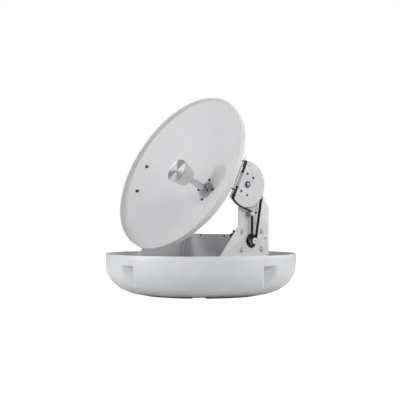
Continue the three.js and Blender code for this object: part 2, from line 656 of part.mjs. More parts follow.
function buildSkewDrive(group) {
  const { back, front, pinion } = SKEW;
  const face = back - 2 * GAP;
  const motor = turned([[2.3, face - 26], [9, face - 26], [10, face - 25], [10, face],
    [2.3, face]], 20).translate(0, skewPinionAt, 0);
  const ear = block(-9, 9, skewPinionAt + 6, 62, face - 3, face);
  const leg = block(-9, 9, 59, 62, face - 3, dishDepth(56) - DISH.wall - 1);
  part(group, 'skew_motor', join(motor, ear, leg), MATERIAL.blackPlastic());
  const wheel = turned([[0, face - 20], [2, face - 20], [2, back], [pinion, back],
    [pinion, front], [0, front]], 20);
  part(group, 'skew_pinion', wheel.translate(0, skewPinionAt, 0), MATERIAL.brass());
}

// ---- The feed, which turns about the dish's axis ----
function buildFeed(group) {
  const { tube, cone, neck, coneLength, face, disc } = FEED;
  const coneBack = face - disc - GAP - coneLength;
  part(group, 'feed_tube', ring(tube - 1.5, tube, LNB.front + GAP, coneBack - GAP, 24),
    MATERIAL.aluminium());
  part(group, 'dielectric_cone', turned([[0, coneBack], [neck - 4, coneBack], [neck, coneBack + 4],
    [cone - 0.6, face - disc - GAP], [0, face - disc - GAP]], 20), MATERIAL.whitePlastic());
  part(group, 'sub_reflector', turned([[0, face - disc], [cone, face - disc],
    [cone, face - 0.8], [cone - 0.8, face], [0, face]], 20), MATERIAL.aluminium());
  const { front, back, radius } = LNB;
  const lnb = turned([[0, back], [radius - 11, back], [radius, back + 10], [radius, front - 10],
    [16, front - 5], [16, front], [0, front]], 20);
  part(group, 'lnb', lnb, MATERIAL.whitePlastic());
  part(group, 'skew_gear', ring(tube + GAP, SKEW.gear, SKEW.back, SKEW.front, 24),
    MATERIAL.whitePlastic());
}

// ---- Assembly ----
const antenna = new THREE.Group();
buildBase(antenna);
buildTurntable(antenna);
buildSpinners(antenna);
const dish = new THREE.Group();
dish.position.z = PIVOT_HEIGHT;
dish.rotation.x = radians(90 - REST_ELEVATION);
antenna.add(dish);
buildDish(dish);
buildSkewDrive(dish);
buildFeed(dish);

export default antenna;
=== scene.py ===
"""The looks of a stabilised satellite dish in its lower radome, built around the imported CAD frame.

Shapes are made in millimetres, and each piece is scaled to metres as it is placed. X is the
elevation axis, towards the belt drive, Z is up, and at rest the dish faces -Y. Pieces of the dish
are made in the dish's own frame: x is X, y is up in the rim's plane, z is forward along its axis.
"""

import json
from math import acos, asin, atan2, cos, degrees, hypot, pi, radians, sin, sqrt, tan

import bmesh
import bpy
from mathutils import Matrix, Vector


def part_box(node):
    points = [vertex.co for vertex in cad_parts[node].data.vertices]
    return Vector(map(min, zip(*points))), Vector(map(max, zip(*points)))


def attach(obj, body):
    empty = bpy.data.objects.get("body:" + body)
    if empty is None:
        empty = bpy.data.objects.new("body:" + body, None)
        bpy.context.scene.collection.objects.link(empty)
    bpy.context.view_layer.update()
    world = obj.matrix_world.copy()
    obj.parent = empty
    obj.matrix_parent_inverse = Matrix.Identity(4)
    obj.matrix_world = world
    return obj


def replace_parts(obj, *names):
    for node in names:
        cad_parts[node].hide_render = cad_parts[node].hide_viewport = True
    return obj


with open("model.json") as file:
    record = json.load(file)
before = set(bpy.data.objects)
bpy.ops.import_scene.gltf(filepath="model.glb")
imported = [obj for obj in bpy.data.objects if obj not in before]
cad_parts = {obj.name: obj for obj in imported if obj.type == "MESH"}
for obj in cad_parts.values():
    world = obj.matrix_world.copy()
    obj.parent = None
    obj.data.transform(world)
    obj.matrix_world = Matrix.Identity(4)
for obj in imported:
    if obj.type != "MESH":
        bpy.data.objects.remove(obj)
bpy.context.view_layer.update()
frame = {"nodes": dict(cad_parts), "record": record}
RECORD = frame["record"]
MM = 0.001
GAP = 0.3  # left between neighbouring parts, in millimetres
SLOT_OF = {row["node"]: row["material_slot"] for row in RECORD["subparts"]}
BODY_OF = {node: body for body, nodes in RECORD["behaviour"]["bodies"].items() for node in nodes}
JOINTS = {joint["name"]: joint for joint in RECORD["behaviour"]["joints"]}


def box_mm(node):
    """A CAD node's lowest and highest corners at rest, in millimetres."""
    low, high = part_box(node)
    return [v / MM for v in low], [v / MM for v in high]


# ---- Dimensions in millimetres, read from the frame where a node's box holds them ----
PIVOT = Vector(JOINTS["elevation"]["pos_m"])
PIVOT_HEIGHT = PIVOT.z / MM
REST_ELEVATION = asin(Vector(JOINTS["skew"]["axis"]).z)

(_, _, _), (RADIUS, _, RIM_HEIGHT) = box_mm("lower_radome")
RADOME_YAW = 3.0
WALL = 3.0
WALL_FOOT = 78.0
FOOT_RADIUS, FOOT_INNER, FOOT_HEIGHT = 154.0, 138.0, 3.0
RECESS = 18.0
POCKET_APEX, POCKET_CEILING = 226.0, 82.0
DECK_FLOOR = RECESS + WALL

(ARM_INNER, ARM_TOE, ARM_BOTTOM), (ARM_OUTER, ARM_REAR, _) = box_mm("right_arm")
ARM_FRONT, ARM_CORNER, ARM_TOE_HEIGHT = -16.8, 181.5, 76.0
CHAMFER_FOOT, CHAMFER_Y, CHAMFER_Z = 228.5, 40.0, 290.5
DECK_BOTTOM = box_mm("turntable_plate")[0][2]
DECK_TOP = DECK_BOTTOM + 3
FLANGE_TOP = box_mm("turntable_plate")[1][2]
PANEL_TOP = box_mm("rear_panel")[1][2]

MOTOR_Y, MOTOR_Z = (v / MM for v in JOINTS["pulley_spin"]["pos_m"][1:])
BOLT_Y, BOLT_Z = 33.8, 22.6
MOTOR_BOLTS = [(MOTOR_Y + a * BOLT_Y, MOTOR_Z + b * BOLT_Z) for a in (-1, 1) for b in (-1, 1)]
IDLER_Y, IDLER_Z = (v / MM for v in JOINTS["idler_spin"]["pos_m"][1:])
IDLER_RADIUS = 6.5
BELT_INNER, BELT_OUTER = box_mm("elevation_belt_run")[0][0], box_mm("elevation_belt_run")[1][0]
BELT_THICKNESS, BELT_RADIUS, DRIVE_RADIUS = 2.0, 57.3, 6.2
SECTOR_INNER, SECTOR_OUTER = box_mm("belt_sector")[0][0], box_mm("belt_sector")[1][0]
SECTOR_RADIUS, SECTOR_FLAT = 59.06, 24.0
SECTOR_SCREWS = [(24.2, 12), (24.2, -10), (-24.2, 12), (-24.2, -10)]

DISH_RADIUS, VERTEX, FOCAL, LIP, SKIN = 219.7, -22.3, 122.6, 13.0, 2.5
BORE = 13.0
BRACKET_INNER, BRACKET_OUTER = 169.0, 171.7
COLLAR_SEAT = VERTEX + 1.9
FEED_FACE, FEED_CONE, FEED_NECK, CONE_LENGTH = 91.5, 31.5, 26.0, 38.0
DISH_BOLTS = [(192, 38), (192, -38), (-192, 38), (-192, -38)]
HUB_SCREW_RADIUS = 29.0
PINION_X, PINION_Y = (v / MM for v in JOINTS["pinion_spin"]["pos_m"][:2])
SKEW_PINION_V = 37.3

# ---- Frames: rigid, so that a piece's own coordinates are the texture's coordinates ----
def spin(axis, angle):
    return Matrix.Rotation(radians(angle), 4, axis)


def at(base, x=0.0, y=0.0, z=0.0, turn=0.0):
    """The frame moved by millimetres of its own, then turned about its own z by degrees."""
    return base @ Matrix.Translation(Vector((x, y, z)) * MM) @ spin("Z", turn)


UPRIGHT = Matrix.Identity(4)
# The depth of a sideways piece runs along X, with its own x along Y and its own y along Z.
SIDEWAYS = Matrix(((0, 0, 1, 0), (1, 0, 0, 0), (0, 1, 0, 0), (0, 0, 0, 1)))
TO_FRONT, TO_REAR = spin("X", 90), spin("X", -90)  # z turned to -Y and to +Y
DISH = Matrix.Translation(PIVOT) @ spin("X", 90 - degrees(REST_ELEVATION))
DISH_SIDEWAYS = DISH @ SIDEWAYS
DISH_LEFT = DISH @ spin("Z", 180) @ SIDEWAYS


def on_dish(u, v):
    """The frame on the dish's face at (u, v), with z along the face's normal."""
    normal = Vector((-u, -v, 2 * FOCAL)).normalized()
    turn = Vector((0, 0, 1)).rotation_difference(normal).to_matrix().to_4x4()
    return at(DISH, u, v, dish_depth(hypot(u, v))) @ turn


def dish_depth(radius):
    return VERTEX + radius ** 2 / (4 * FOCAL)


# ---- Materials ----
class Nodes:
    """A material's node tree with short ways to add to it."""

    def __init__(self, name):
        self.material = bpy.data.materials.new(name)
        self.material.use_nodes = True
        self.tree = self.material.node_tree
        self.shader = self.tree.nodes["Principled BSDF"]
        self.place = self.add("ShaderNodeTexCoord").outputs["Object"]

    def add(self, kind, inputs=(), **settings):
        node = self.tree.nodes.new(kind)
        for key, value in settings.items():
            setattr(node, key, value)
        for socket, value in dict(inputs).items():
            if isinstance(value, bpy.types.NodeSocket):
                self.tree.links.new(value, node.inputs[socket])
            else:
                node.inputs[socket].default_value = value
        return node

    def noise(self, size_mm, detail=3.0, place=None):
        """Noise from 0 to 1 whose features are about size_mm across."""
        inputs = {"Vector": place or self.place, "Scale": 1 / (size_mm * MM), "Detail": detail}
        return self.add("ShaderNodeTexNoise", inputs).outputs["Fac"]

    def stretched(self, along, x=1.0, y=1.0, z=1.0):
        return self.add("ShaderNodeMapping", {"Vector": along, "Scale": (x, y, z)}).outputs["Vector"]

    def spread(self, value, low, high, from_low=0.3, from_high=0.7):
        node = self.add("ShaderNodeMapRange", {
            "Value": value, "From Min": from_low, "From Max": from_high, "To Min": low,
            "To Max": high})
        return node.outputs["Result"]

    def blend(self, factor, first, second):
        """One colour over another; each is three numbers or another node's output."""
        colors = [c if isinstance(c, bpy.types.NodeSocket) else (*c, 1) for c in (first, second)]
        inputs = dict(zip((0, 6, 7), (factor, *colors)))
        return self.add("ShaderNodeMix", inputs, data_type="RGBA").outputs[2]

    def math(self, operation, first, second=0.0):
        node = self.add("ShaderNodeMath", {0: first, 1: second}, operation=operation)
        return node.outputs[0]

    def bump(self, height, depth_mm, strength=1.0, under=None):
        inputs = {"Height": height, "Distance": depth_mm * MM, "Strength": strength}
        if under:
            inputs["Normal"] = under
        return self.add("ShaderNodeBump", inputs).outputs["Normal"]

    def finished(self, base, rough, normal, **values):
        """The material with its three textures linked and its plain values set."""
        for socket, value in (("Base Color", base), ("Roughness", rough), ("Normal", normal)):
            self.tree.links.new(value, self.shader.inputs[socket])
        return self.plain(**values)

    def plain(self, **values):
        for key, value in values.items():
            self.shader.inputs[key.replace("_", " ")].default_value = value
        return self.material


def shade(color, share):
    return [min(c * share, 1) for c in color]


def coated(look, color, rough, grain_mm, grain_depth, mottle=0.03, coat=0.0):
    """A painted or moulded finish: a fine grain, faint cloudiness, and rubbed patches."""
    cloud = look.noise(38, 4)
    fine = look.noise(grain_mm * 4, 3)
    base = look.blend(look.spread(cloud, 0, 1), shade(color, 1 - mottle), shade(color, 1 + mottle * 0.6))
    peel = look.bump(look.noise(grain_mm * 6, 1), grain_depth * 2.2, 0.6)
    return look.finished(
        look.blend(look.spread(fine, 0, 0.25), base, shade(color, 0.9)),
        look.spread(look.noise(16, 5), *rough),
        look.bump(look.noise(grain_mm, 2), grain_depth, 0.8, peel),
        Coat_Weight=coat, Coat_Roughness=0.25)


def machined(look, color, rough, stretch=(1, 1, 14), depth=0.02):
    """Bare metal with fine tool marks drawn out along one direction and faint tarnish."""
    marks = look.noise(0.9, 3, look.stretched(look.place, *stretch))
    base = look.blend(look.spread(look.noise(9, 4), 0, 1), shade(color, 0.86), color)
    return look.finished(
        look.blend(look.spread(marks, 0, 0.35), base, shade(color, 0.72)),
        look.spread(marks, *rough), look.bump(marks, depth, 0.6), Metallic=1.0)


def spun(look, color):
    """A face turned on a lathe: rings about z, and a painted reflection in its colour that swings light
    and dark around it.
    """
    split = look.add("ShaderNodeSeparateXYZ", {"Vector": look.place})
    across, up = split.outputs["X"], split.outputs["Y"]
    radius = look.math("SQRT", look.math(
        "ADD", look.math("MULTIPLY", across, across), look.math("MULTIPLY", up, up)))
    angle = look.math("ARCTAN2", up, across)
    wobble = look.math("MULTIPLY", look.noise(11, 2), 0.9)
    rings = look.math("SINE", look.math("MULTIPLY", radius, 2 * pi / (0.55 * MM)))
    # The light and dark sectors by angle about z are a painted reflection, set into the base colour.
    swing = look.math("SINE", look.math("ADD", look.math("MULTIPLY", angle, 3.0), wobble))
    twist = look.math("SINE", look.math("ADD", look.math("MULTIPLY", angle, 2.0), 2.1))
    painted_sheen = look.math("ADD", swing, look.math("MULTIPLY", twist, 0.45))
    base = look.blend(look.spread(painted_sheen, 0, 1, -0.75, 0.75), shade(color, 0.36), color)
    return look.finished(
        look.blend(look.spread(rings, 0, 0.16, -1, 1), base, shade(color, 0.5)),
        look.spread(look.noise(4, 3), 0.34, 0.46), look.bump(rings, 0.02, 0.35), Metallic=0.75)


def rubber(look, color):
    weave = look.noise(0.5, 2, look.stretched(look.place, 5, 1, 1))
    cloud = look.spread(look.noise(7, 4), 0, 1)
    return look.finished(
        look.blend(cloud, shade(color, 0.7), shade(color, 1.7)),
        look.spread(weave, 0.5, 0.75), look.bump(weave, 0.06, 0.6))


def circuit(look, color):
    """Solder mask over straight copper tracks, with tinned pads."""
    flat = look.stretched(look.place, 1, 0, 1)
    turned_up = look.add("ShaderNodeMapping", {"Vector": flat, "Rotation": (pi / 2, 0, 0)})
    tracks = look.add("ShaderNodeTexBrick", {
        "Vector": turned_up.outputs["Vector"], "Scale": 95.0, "Mortar Size": 0.035,
        "Mortar Smooth": 0.2, "Brick Width": 0.9, "Row Height": 0.32}, offset=0.37).outputs["Fac"]
    pads = look.add("ShaderNodeTexVoronoi", {"Vector": flat, "Scale": 210.0}).outputs["Distance"]
    base = look.blend(tracks, color, shade(color, 2.3))
    return look.finished(
        look.blend(look.spread(pads, 0.8, 0, 0.12, 0.16), base, (0.55, 0.56, 0.52)),
        look.spread(look.noise(6, 3), 0.28, 0.42), look.bump(tracks, 0.05, 0.7))


FINISHES = {
    # name: (kind, colour, and what that kind takes)
    "radome_gelcoat": (coated, (0.74, 0.75, 0.765), (0.34, 0.46), 0.9, 0.012, 0.02, 0.12),
    "white_paint": (coated, (0.72, 0.725, 0.735), (0.42, 0.55), 0.5, 0.02, 0.02),
    "grey_paint": (coated, (0.36, 0.365, 0.38), (0.45, 0.6), 0.5, 0.025, 0.04),
    "aluminium": (machined, (0.74, 0.75, 0.77), (0.26, 0.42)),
    "spun_aluminium": (spun, (0.82, 0.83, 0.86)),
    "steel": (machined, (0.62, 0.63, 0.65), (0.2, 0.36), (1, 1, 3), 0.012),
    "black_steel": (machined, (0.075, 0.075, 0.08), (0.32, 0.5), (1, 1, 2), 0.02),
    "brass": (machined, (0.66, 0.5, 0.24), (0.22, 0.38), (1, 1, 6), 0.015),
    "belt_rubber": (rubber, (0.012, 0.012, 0.013)),
    "black_plastic": (coated, (0.02, 0.02, 0.022), (0.38, 0.55), 0.35, 0.03, 0.2),
    "white_plastic": (coated, (0.74, 0.74, 0.73), (0.36, 0.48), 0.6, 0.012, 0.02),
    "sector_plastic": (coated, (0.66, 0.665, 0.68), (0.4, 0.52), 0.55, 0.02, 0.03),
    "grey_plastic": (coated, (0.27, 0.275, 0.29), (0.4, 0.55), 0.5, 0.02, 0.05),
    "circuit_board": (circuit, (0.02, 0.09, 0.045)),
}
MATERIALS = {name: kind(Nodes(name), *values) for name, (kind, *values) in FINISHES.items()}


# ---- Plane outlines ----
def polar(centre, radius, angle):
    return (centre[0] + radius * cos(angle), centre[1] + radius * sin(angle))


def arc(centre, radius, start, end, steps):
    """Points on an arc; angles are in radians."""
    return [polar(centre, radius, start + (end - start) * i / steps) for i in range(steps + 1)]


def circle(x, y, radius, steps=48):
    return arc((x, y), radius, 0, 2 * pi, steps)[:-1]


def upright_slot(x, y, radius, half_length):
    return (arc((x, y + half_length), radius, 0, pi, 12)
            + arc((x, y - half_length), radius, pi, 2 * pi, 12))


def rectangle(x0, x1, y0, y1):
    return [(x0, y0), (x1, y0), (x1, y1), (x0, y1)]


def rounded(points, radius, steps=5, keep=lambda point: False):
    """The closed outline with each corner turned into an arc as far as its sides allow."""
    result = []
    for i, point in enumerate(points):
        here = Vector(point)
        before = Vector(points[i - 1]) - here
        after = Vector(points[(i + 1) % len(points)]) - here
        half = before.angle(after) / 2
        if keep(point) or half > 1.54:
            result.append(point)
            continue
        reach = min(radius / tan(half), 0.48 * before.length, 0.48 * after.length)
        a, b = before.normalized(), after.normalized()
        size = reach * tan(half)
        centre = here + (a + b).normalized() * (size / sin(half))
        start = (here + a * reach - centre).normalized()
        end = (here + b * reach - centre).normalized()
        result += [tuple(centre + start.slerp(end, k / steps) * size) for k in range(steps + 1)]
    return result


def toothed(radius, depth, teeth, phase=0.0, steps=(0.0, 0.22, 0.34, 0.66, 0.78)):
    """A wheel's outline, whose teeth reach radius and whose gaps go depth below it."""
    heights = (depth, depth, 0, 0, depth)
    return [polar((0, 0), radius - drop, 2 * pi * (i + step + phase) / teeth)
            for i in range(teeth) for step, drop in zip(steps, heights)]


def tangent_angle(a, radius_a, b, radius_b, side):
    """The angle at which a tangent leaves circle a for circle b; a negative radius crosses over."""
    dx, dy = b[0] - a[0], b[1] - a[1]
    return atan2(dy, dx) + side * acos((radius_a - radius_b) / hypot(dx, dy))


def resampled(path, pitch):
    """The path's points at equal steps close to pitch."""
    points = [Vector(p) for p in path]
    reach = [0.0]
    for a, b in zip(points, points[1:]):
        reach.append(reach[-1] + (b - a).length)
    count = max(2, round(reach[-1] / pitch))
    result = []
    k = 0
    for i in range(count + 1):
        target = reach[-1] * i / count
        while k < len(points) - 2 and reach[k + 1] < target:
            k += 1
        span = max(reach[k + 1] - reach[k], 1e-9)
        result.append(points[k].lerp(points[k + 1], (target - reach[k]) / span))
    return result


def belt_outline(path, thickness, tooth, pitch=2.0):
    """The outline of an open belt whose teeth stand on the right of its path."""
    quarter = pitch / 4
    fine = resampled(path, quarter)
    sides = []
    for i, point in enumerate(fine):
        along = fine[min(i + 1, len(fine) - 1)] - fine[max(i - 1, 0)]
        sides.append(Vector((-along.y, along.x)).normalized())
    back = [tuple(p + n * thickness / 2) for p, n in zip(fine, sides)]
    front = []
    for i, (p, n) in enumerate(zip(fine, sides)):
        height = tooth if i % 4 in (1, 2) and 4 < i < len(fine) - 4 else 0
        front.append(tuple(p - n * (thickness / 2 + height)))
    return back + front[::-1]


# ---- Mesh building: each function gives a bmesh in millimetres ----
def shell(loops, count):
    """A closed shell over loops of count points each, or of one point where a loop closes up."""
    bm = bmesh.new()
    rings = [[bm.verts.new(point) for point in loop] for loop in loops]
    for lower, upper in zip(rings, rings[1:] + rings[:1]):
        if len(lower) + len(upper) > 2:
            for i in range(count):
                corners = [ring[k % count % len(ring)]
                           for ring, k in ((lower, i), (lower, i + 1), (upper, i + 1), (upper, i))]
                bm.faces.new(dict.fromkeys(corners))
    bmesh.ops.recalc_face_normals(bm, faces=bm.faces)
    return bm


def lathe(profile, segments=96):
    """A solid of revolution about z from a closed profile of (radius, z) points."""
    turns = [2 * pi * i / segments for i in range(segments)]
    return shell([[(r * cos(t), r * sin(t), z) for t in (turns if r > 1e-6 else [0])]
                  for r, z in profile], segments)


def turned(profile, corner=0.5, segments=64, steps=3):
    """A lathe's solid with every corner off the axis rounded."""
    return lathe(rounded(profile, corner, steps, keep=lambda point: point[0] < 1e-6), segments)


def ring(inner, outer, low, high, corner=0.4, segments=64):
    return turned([(inner, low), (outer, low), (outer, high), (inner, high)], corner, segments)


def stepped(inner, *steps):
    """A profile from (radius, low, high) steps, closed at the inner radius."""
    sides = [(radius, z) for radius, low, high in steps for z in (low, high)]
    return [(inner, sides[0][1]), *sides, (inner, sides[-1][1])]


def plate(outline, holes, low, high, bevel=0.3):
    """A flat piece from z = low to z = high, whose edges have a small rounded bevel."""
    curve = bpy.data.curves.new("outline", "CURVE")
    curve.dimensions = "2D"
    curve.fill_mode = "BOTH"
    curve.extrude = (high - low) / 2 - bevel
    curve.bevel_depth = bevel
    curve.bevel_resolution = 1
    curve.offset = -bevel
    for loop in [outline, *holes]:
        spline = curve.splines.new("POLY")
        spline.points.add(len(loop) - 1)
        for point, (x, y) in zip(spline.points, loop):
            point.co = (x, y, 0, 1)
        spline.use_cyclic_u = True
    work = bpy.data.objects.new("outline", curve)
    bpy.context.collection.objects.link(work)
    graph = bpy.context.evaluated_depsgraph_get()
    mesh = bpy.data.meshes.new_from_object(work.evaluated_get(graph))
    bm = bmesh.new()
    bm.from_mesh(mesh)
    bpy.data.objects.remove(work)
    bpy.data.curves.remove(curve)
    bpy.data.meshes.remove(mesh)
    bmesh.ops.translate(bm, verts=bm.verts, vec=(0, 0, (low + high) / 2))
    bmesh.ops.remove_doubles(bm, verts=bm.verts, dist=0.004)
    bmesh.ops.recalc_face_normals(bm, faces=bm.faces)
    return bm


def block(x0, x1, y0, y1, z0, z1):
    bm = bmesh.new()
    middle = Matrix.Translation(((x0 + x1) / 2, (y0 + y1) / 2, (z0 + z1) / 2))
    size = Matrix.Diagonal((x1 - x0, y1 - y0, z1 - z0, 1))
    bmesh.ops.create_cube(bm, size=1, matrix=middle @ size)
    return bm


def mesh_object(name, bm, *materials):
    """The bmesh as an object of the scene."""
    mesh = bpy.data.meshes.new(name)
    bm.to_mesh(mesh)
    bm.free()
    for material in materials:
        mesh.materials.append(material)
    obj = bpy.data.objects.new(name, mesh)
    bpy.context.collection.objects.link(obj)
    return obj


def discard(work):
    mesh = work.data
    bpy.data.objects.remove(work)
    bpy.data.meshes.remove(mesh)


def modified(bm, kind, **settings):
    """The bmesh after one modifier."""
    work = mesh_object("work", bm)
    modifier = work.modifiers.new("step", kind)
    for key, value in settings.items():
        setattr(modifier, key, value)
    graph = bpy.context.evaluated_depsgraph_get()
    result = bmesh.new()
    result.from_mesh(work.evaluated_get(graph).to_mesh())
    discard(work)
    return result


def combined(operation, bm, *tools):
    for tool in tools:
        other = mesh_object("work", tool)
        bm = modified(bm, "BOOLEAN", operation=operation, solver="EXACT", object=other)
        discard(other)
    return bm


def cut(bm, *tools):
    return combined("DIFFERENCE", bm, *tools)


def softened(bm, width=0.4, segments=2):
    return modified(bm, "BEVEL", width=width, segments=segments, limit_method="ANGLE",
                    angle_limit=radians(40))


def placed(bm, matrix=None, x=0.0, y=0.0, z=0.0):
    """The bmesh moved by millimetres, after being turned by matrix."""
    if matrix is not None:
        bmesh.ops.transform(bm, matrix=matrix, verts=bm.verts)
    bmesh.ops.translate(bm, verts=bm.verts, vec=(x, y, z))
    return bm


def merged(*parts):
    """Several bmeshes in one, each its own closed shell."""
    mesh = bpy.data.meshes.new("merged")
    result = bmesh.new()
    for part in parts:
        part.to_mesh(mesh)
        part.free()
        result.from_mesh(mesh)
    bpy.data.meshes.remove(mesh)
    return result


def copies(make, points, z=0.0):
    """A new part from make at each (x, y) point, all in one bmesh."""
    return merged(*(placed(make(), x=x, y=y, z=z) for x, y in points))


# ---- Pieces ----
def extra(name, bm, base, finish, body="turntable", smooth=38):
    """A piece placed by its frame, in a finish, riding on a body."""
    bmesh.ops.scale(bm, vec=(MM, MM, MM), verts=bm.verts)
    obj = mesh_object(name, bm, MATERIALS[finish])
    obj.data.shade_smooth()
    obj.data.set_sharp_from_angle(angle=radians(smooth))
    obj.matrix_world = base
    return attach(obj, body)


def fine(node, bm, base=UPRIGHT, smooth=38):
    """The finished surface of one CAD node, on that node's body and in its finish."""
    obj = extra(f"{node}_fine", bm, base, SLOT_OF[node], BODY_OF[node], smooth)
    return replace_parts(obj, node)


def nearest(stem, base):
    """Of the four nodes with this stem, the one whose middle is nearest to the frame's origin."""
    middle = {f"{stem}_{k}": sum(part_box(f"{stem}_{k}"), Vector()) / 2 for k in (1, 2, 3, 4)}
    return min(middle, key=lambda node: (middle[node] - base.translation).length)


# ---- Fasteners: each stands on z = 0 ----
def cross_recess(radius, top, depth):
    arm = radius * 0.24
    return [block(-radius * 0.62, radius * 0.62, -arm, arm, top - depth, top + 1),
            block(-arm, arm, -radius * 0.62, radius * 0.62, top - depth, top + 1)]


def pan_screw(radius, height, shank=0.0, length=0.0):
    """A domed head with a cross recess, and a shank below it."""
    dome = [(0, height)]
    dome += [(radius * sin(t), height * (0.35 + 0.65 * cos(t)))
             for t in [pi / 2 * k / 6 for k in range(1, 7)]]
    foot = [(radius, 0), (shank, 0), (shank, -length), (0, -length)] if shank else [
        (radius, 0), (0, 0)]
    return cut(lathe(dome + foot, 32), *cross_recess(radius, height, height * 0.55))


def slotted_screw(radius, height, washer=0.0, shank=0.0, length=0.0):
    """A cheese head with one slot across it, on a washer."""
    foot = [(washer, 0.9), (washer, 0), (shank, 0), (shank, -length), (0, -length)]
    head = [(0, height), (radius, height), (radius, 0.9)]
    body = turned(head + foot, 0.25, 40, 2)
    return cut(body, block(-radius - 1, radius + 1, -0.55, 0.55, height - 1.2, height + 1))


def hexagon(across_flats, turn=0.0):
    reach = across_flats / sqrt(3)
    return [polar((0, 0), reach, radians(60 * i) + turn) for i in range(6)]


def hex_nut(across_flats, hole, low, high):
    """A nut with its corners turned off."""
    body = plate(hexagon(across_flats), [circle(0, 0, hole, 24)], low, high, 0.12)
    reach = across_flats / sqrt(3)
    cone = turned([(0, low - 0.2), (reach - 0.5, low), (reach + 0.2, (low + high) / 2),
                   (reach - 0.5, high), (0, high + 0.2)], 0.1, 32)
    return combined("INTERSECT", body, cone)


def socket_screw(radius, height, shank, length):
    """A cap head with a six-sided socket."""
    head = [(0, height), (radius, height), (radius, 0), (shank, 0), (shank, -length), (0, -length)]
    body = turned(head, 0.3, 32, 2)
    return cut(body, plate(hexagon(radius * 0.95), [], height - 1.8, height + 1, 0.05))


def threads(radius, low, high, pitch=1.0, depth=0.35):
    """A profile's side with the ridges of a thread, from low to high."""
    count = int((high - low) / pitch)
    step = (high - low) / count
    side = []
    for i in range(count):
        z = low + i * step
        side += [(radius - depth, z), (radius, z + step * 0.35), (radius, z + step * 0.55)]
    return side + [(radius - depth, high)]


# ---- The lower radome ----
def nearest_pocket(angle):
    """The angle from the middle of the nearest of the four pockets, in degrees."""
    return (angle - RADOME_YAW + 45) % 90 - 45


def smooth_min(a, b, blend):
    share = max(blend - abs(a - b), 0) / blend
    return min(a, b) - share * share * blend / 4


def pocket_wall(offset, apex):
    """How far out the pocket's right-angled notch stands at an angle from its middle."""
    t = radians(offset)
    opening = cos(t) - sqrt(sin(t) ** 2 + 1e-5)
    return apex / opening if opening > 0.05 else 1e6


def radome_columns():
    half = [0.3 * k for k in range(31)] + [11, 13] + list(range(15, 38, 2))
    half += [38.2, 38.5, 39.5, 42, 45]
    offsets = sorted(set(half + [-a for a in half if 0 < a < 45]))
    return [RADOME_YAW + 90 * i + a for i in range(4) for a in offsets]


def radome_rows():
    """Rows of (radius, height, kind) from the middle of the underside out, over and in again."""
    def rows(kind, *points):
        return [(r, z, kind) for r, z in points]

    def bowl(across, down, order):
        return [(centre + across * sin(t), WALL_FOOT - down * cos(t)) for t in order]

    centre = FOOT_RADIUS + 3
    across, down = RADIUS - centre, WALL_FOOT - FOOT_HEIGHT
    quarter = [pi / 2 * i / 40 for i in range(41)]
    inside, shelf, low = RADIUS - WALL, POCKET_CEILING + WALL, FOOT_HEIGHT + WALL
    rim = rounded([(RADIUS, 98), (RADIUS, RIM_HEIGHT), (inside, RIM_HEIGHT), (inside, 98)], 1.2, 4)
    return [
        *rows("plain", (0, RECESS), (90, RECESS), (FOOT_INNER - 4, RECESS),
              (FOOT_INNER - 2.4, RECESS - 0.6), (FOOT_INNER - 1.9, RECESS - 2),
              (FOOT_INNER - 0.3, 1.0)),
        *rows("foot", (FOOT_INNER + 0.6, 0), (FOOT_RADIUS - 0.6, 0), (FOOT_RADIUS + 0.3, 0.5),
              (FOOT_RADIUS + 0.6, 1.6)),
        *rows("pocket", *bowl(across, down, quarter), (RADIUS, POCKET_CEILING - 2),
              (RADIUS, POCKET_CEILING - 0.7)),
        *rows("lip", (RADIUS, POCKET_CEILING)),
        *rows("edge", (RADIUS, POCKET_CEILING + 0.9)),
        *rows("plain", (RADIUS, POCKET_CEILING + 2.5), (RADIUS, POCKET_CEILING + 10), *rim[6:18],
              (inside, shelf + 4), (inside, shelf + 0.8)),
        *rows("inner_edge", (inside, shelf)),
        *rows("inner", (inside, shelf - 0.8), *bowl(across - WALL, down - WALL, quarter[::-1])),
        *rows("plain", (FOOT_INNER + 6, low), (FOOT_INNER + 4.4, low + 0.8),
              (FOOT_INNER + 3.6, low + 2), (FOOT_INNER + 1.4, DECK_FLOOR - 2),
              (FOOT_INNER + 0.6, DECK_FLOOR - 0.7), (FOOT_INNER - 1.2, DECK_FLOOR),
              (90, DECK_FLOOR), (0, DECK_FLOOR))]


def radome_point(radius, height, kind, angle):
    """Where a row's point lies once the pockets and the foot's notches have moved it."""
    offset = nearest_pocket(angle)
    outer = pocket_wall(offset, POCKET_APEX)
    inner = pocket_wall(offset, POCKET_APEX - WALL * sqrt(2))
    if kind == "pocket":
        radius = smooth_min(radius, outer, 7)
    elif kind in ("lip", "edge"):
        share = min(max((radius - outer) / 4, 0), 1)
        radius -= share * (1.8 if kind == "lip" else 0.5)
    elif kind == "inner":
        radius = smooth_min(radius, inner, 5)
    elif kind == "inner_edge":
        radius = min(radius, max(inner + 1.2, radius - 1.2) if inner < radius else radius)
    elif kind == "foot" and abs(abs(offset) - 45) < 6.6:
        height = max(height, FOOT_HEIGHT - 0.1)
    turn = radians(angle)
    return (radius * cos(turn), radius * sin(turn), height)


def lower_radome():
    columns = radome_columns()
    return shell([[radome_point(r, z, kind, a) for a in (columns if r else columns[:1])]
                  for r, z, kind in radome_rows()], len(columns))


def radome_bosses():
    """The bosses inside the pockets that the upper radome's screws are driven up through."""
    low, high = POCKET_CEILING + 1, RIM_HEIGHT - 8
    profile = [(2.4, low), (7, low), (6, low + 3), (5.4, high), (2.4, high)]
    points = [polar((0, 0), POCKET_APEX + 14, radians(RADOME_YAW + 90 * i)) for i in range(4)]
    return copies(lambda: turned(profile, 0.6, 32), points)


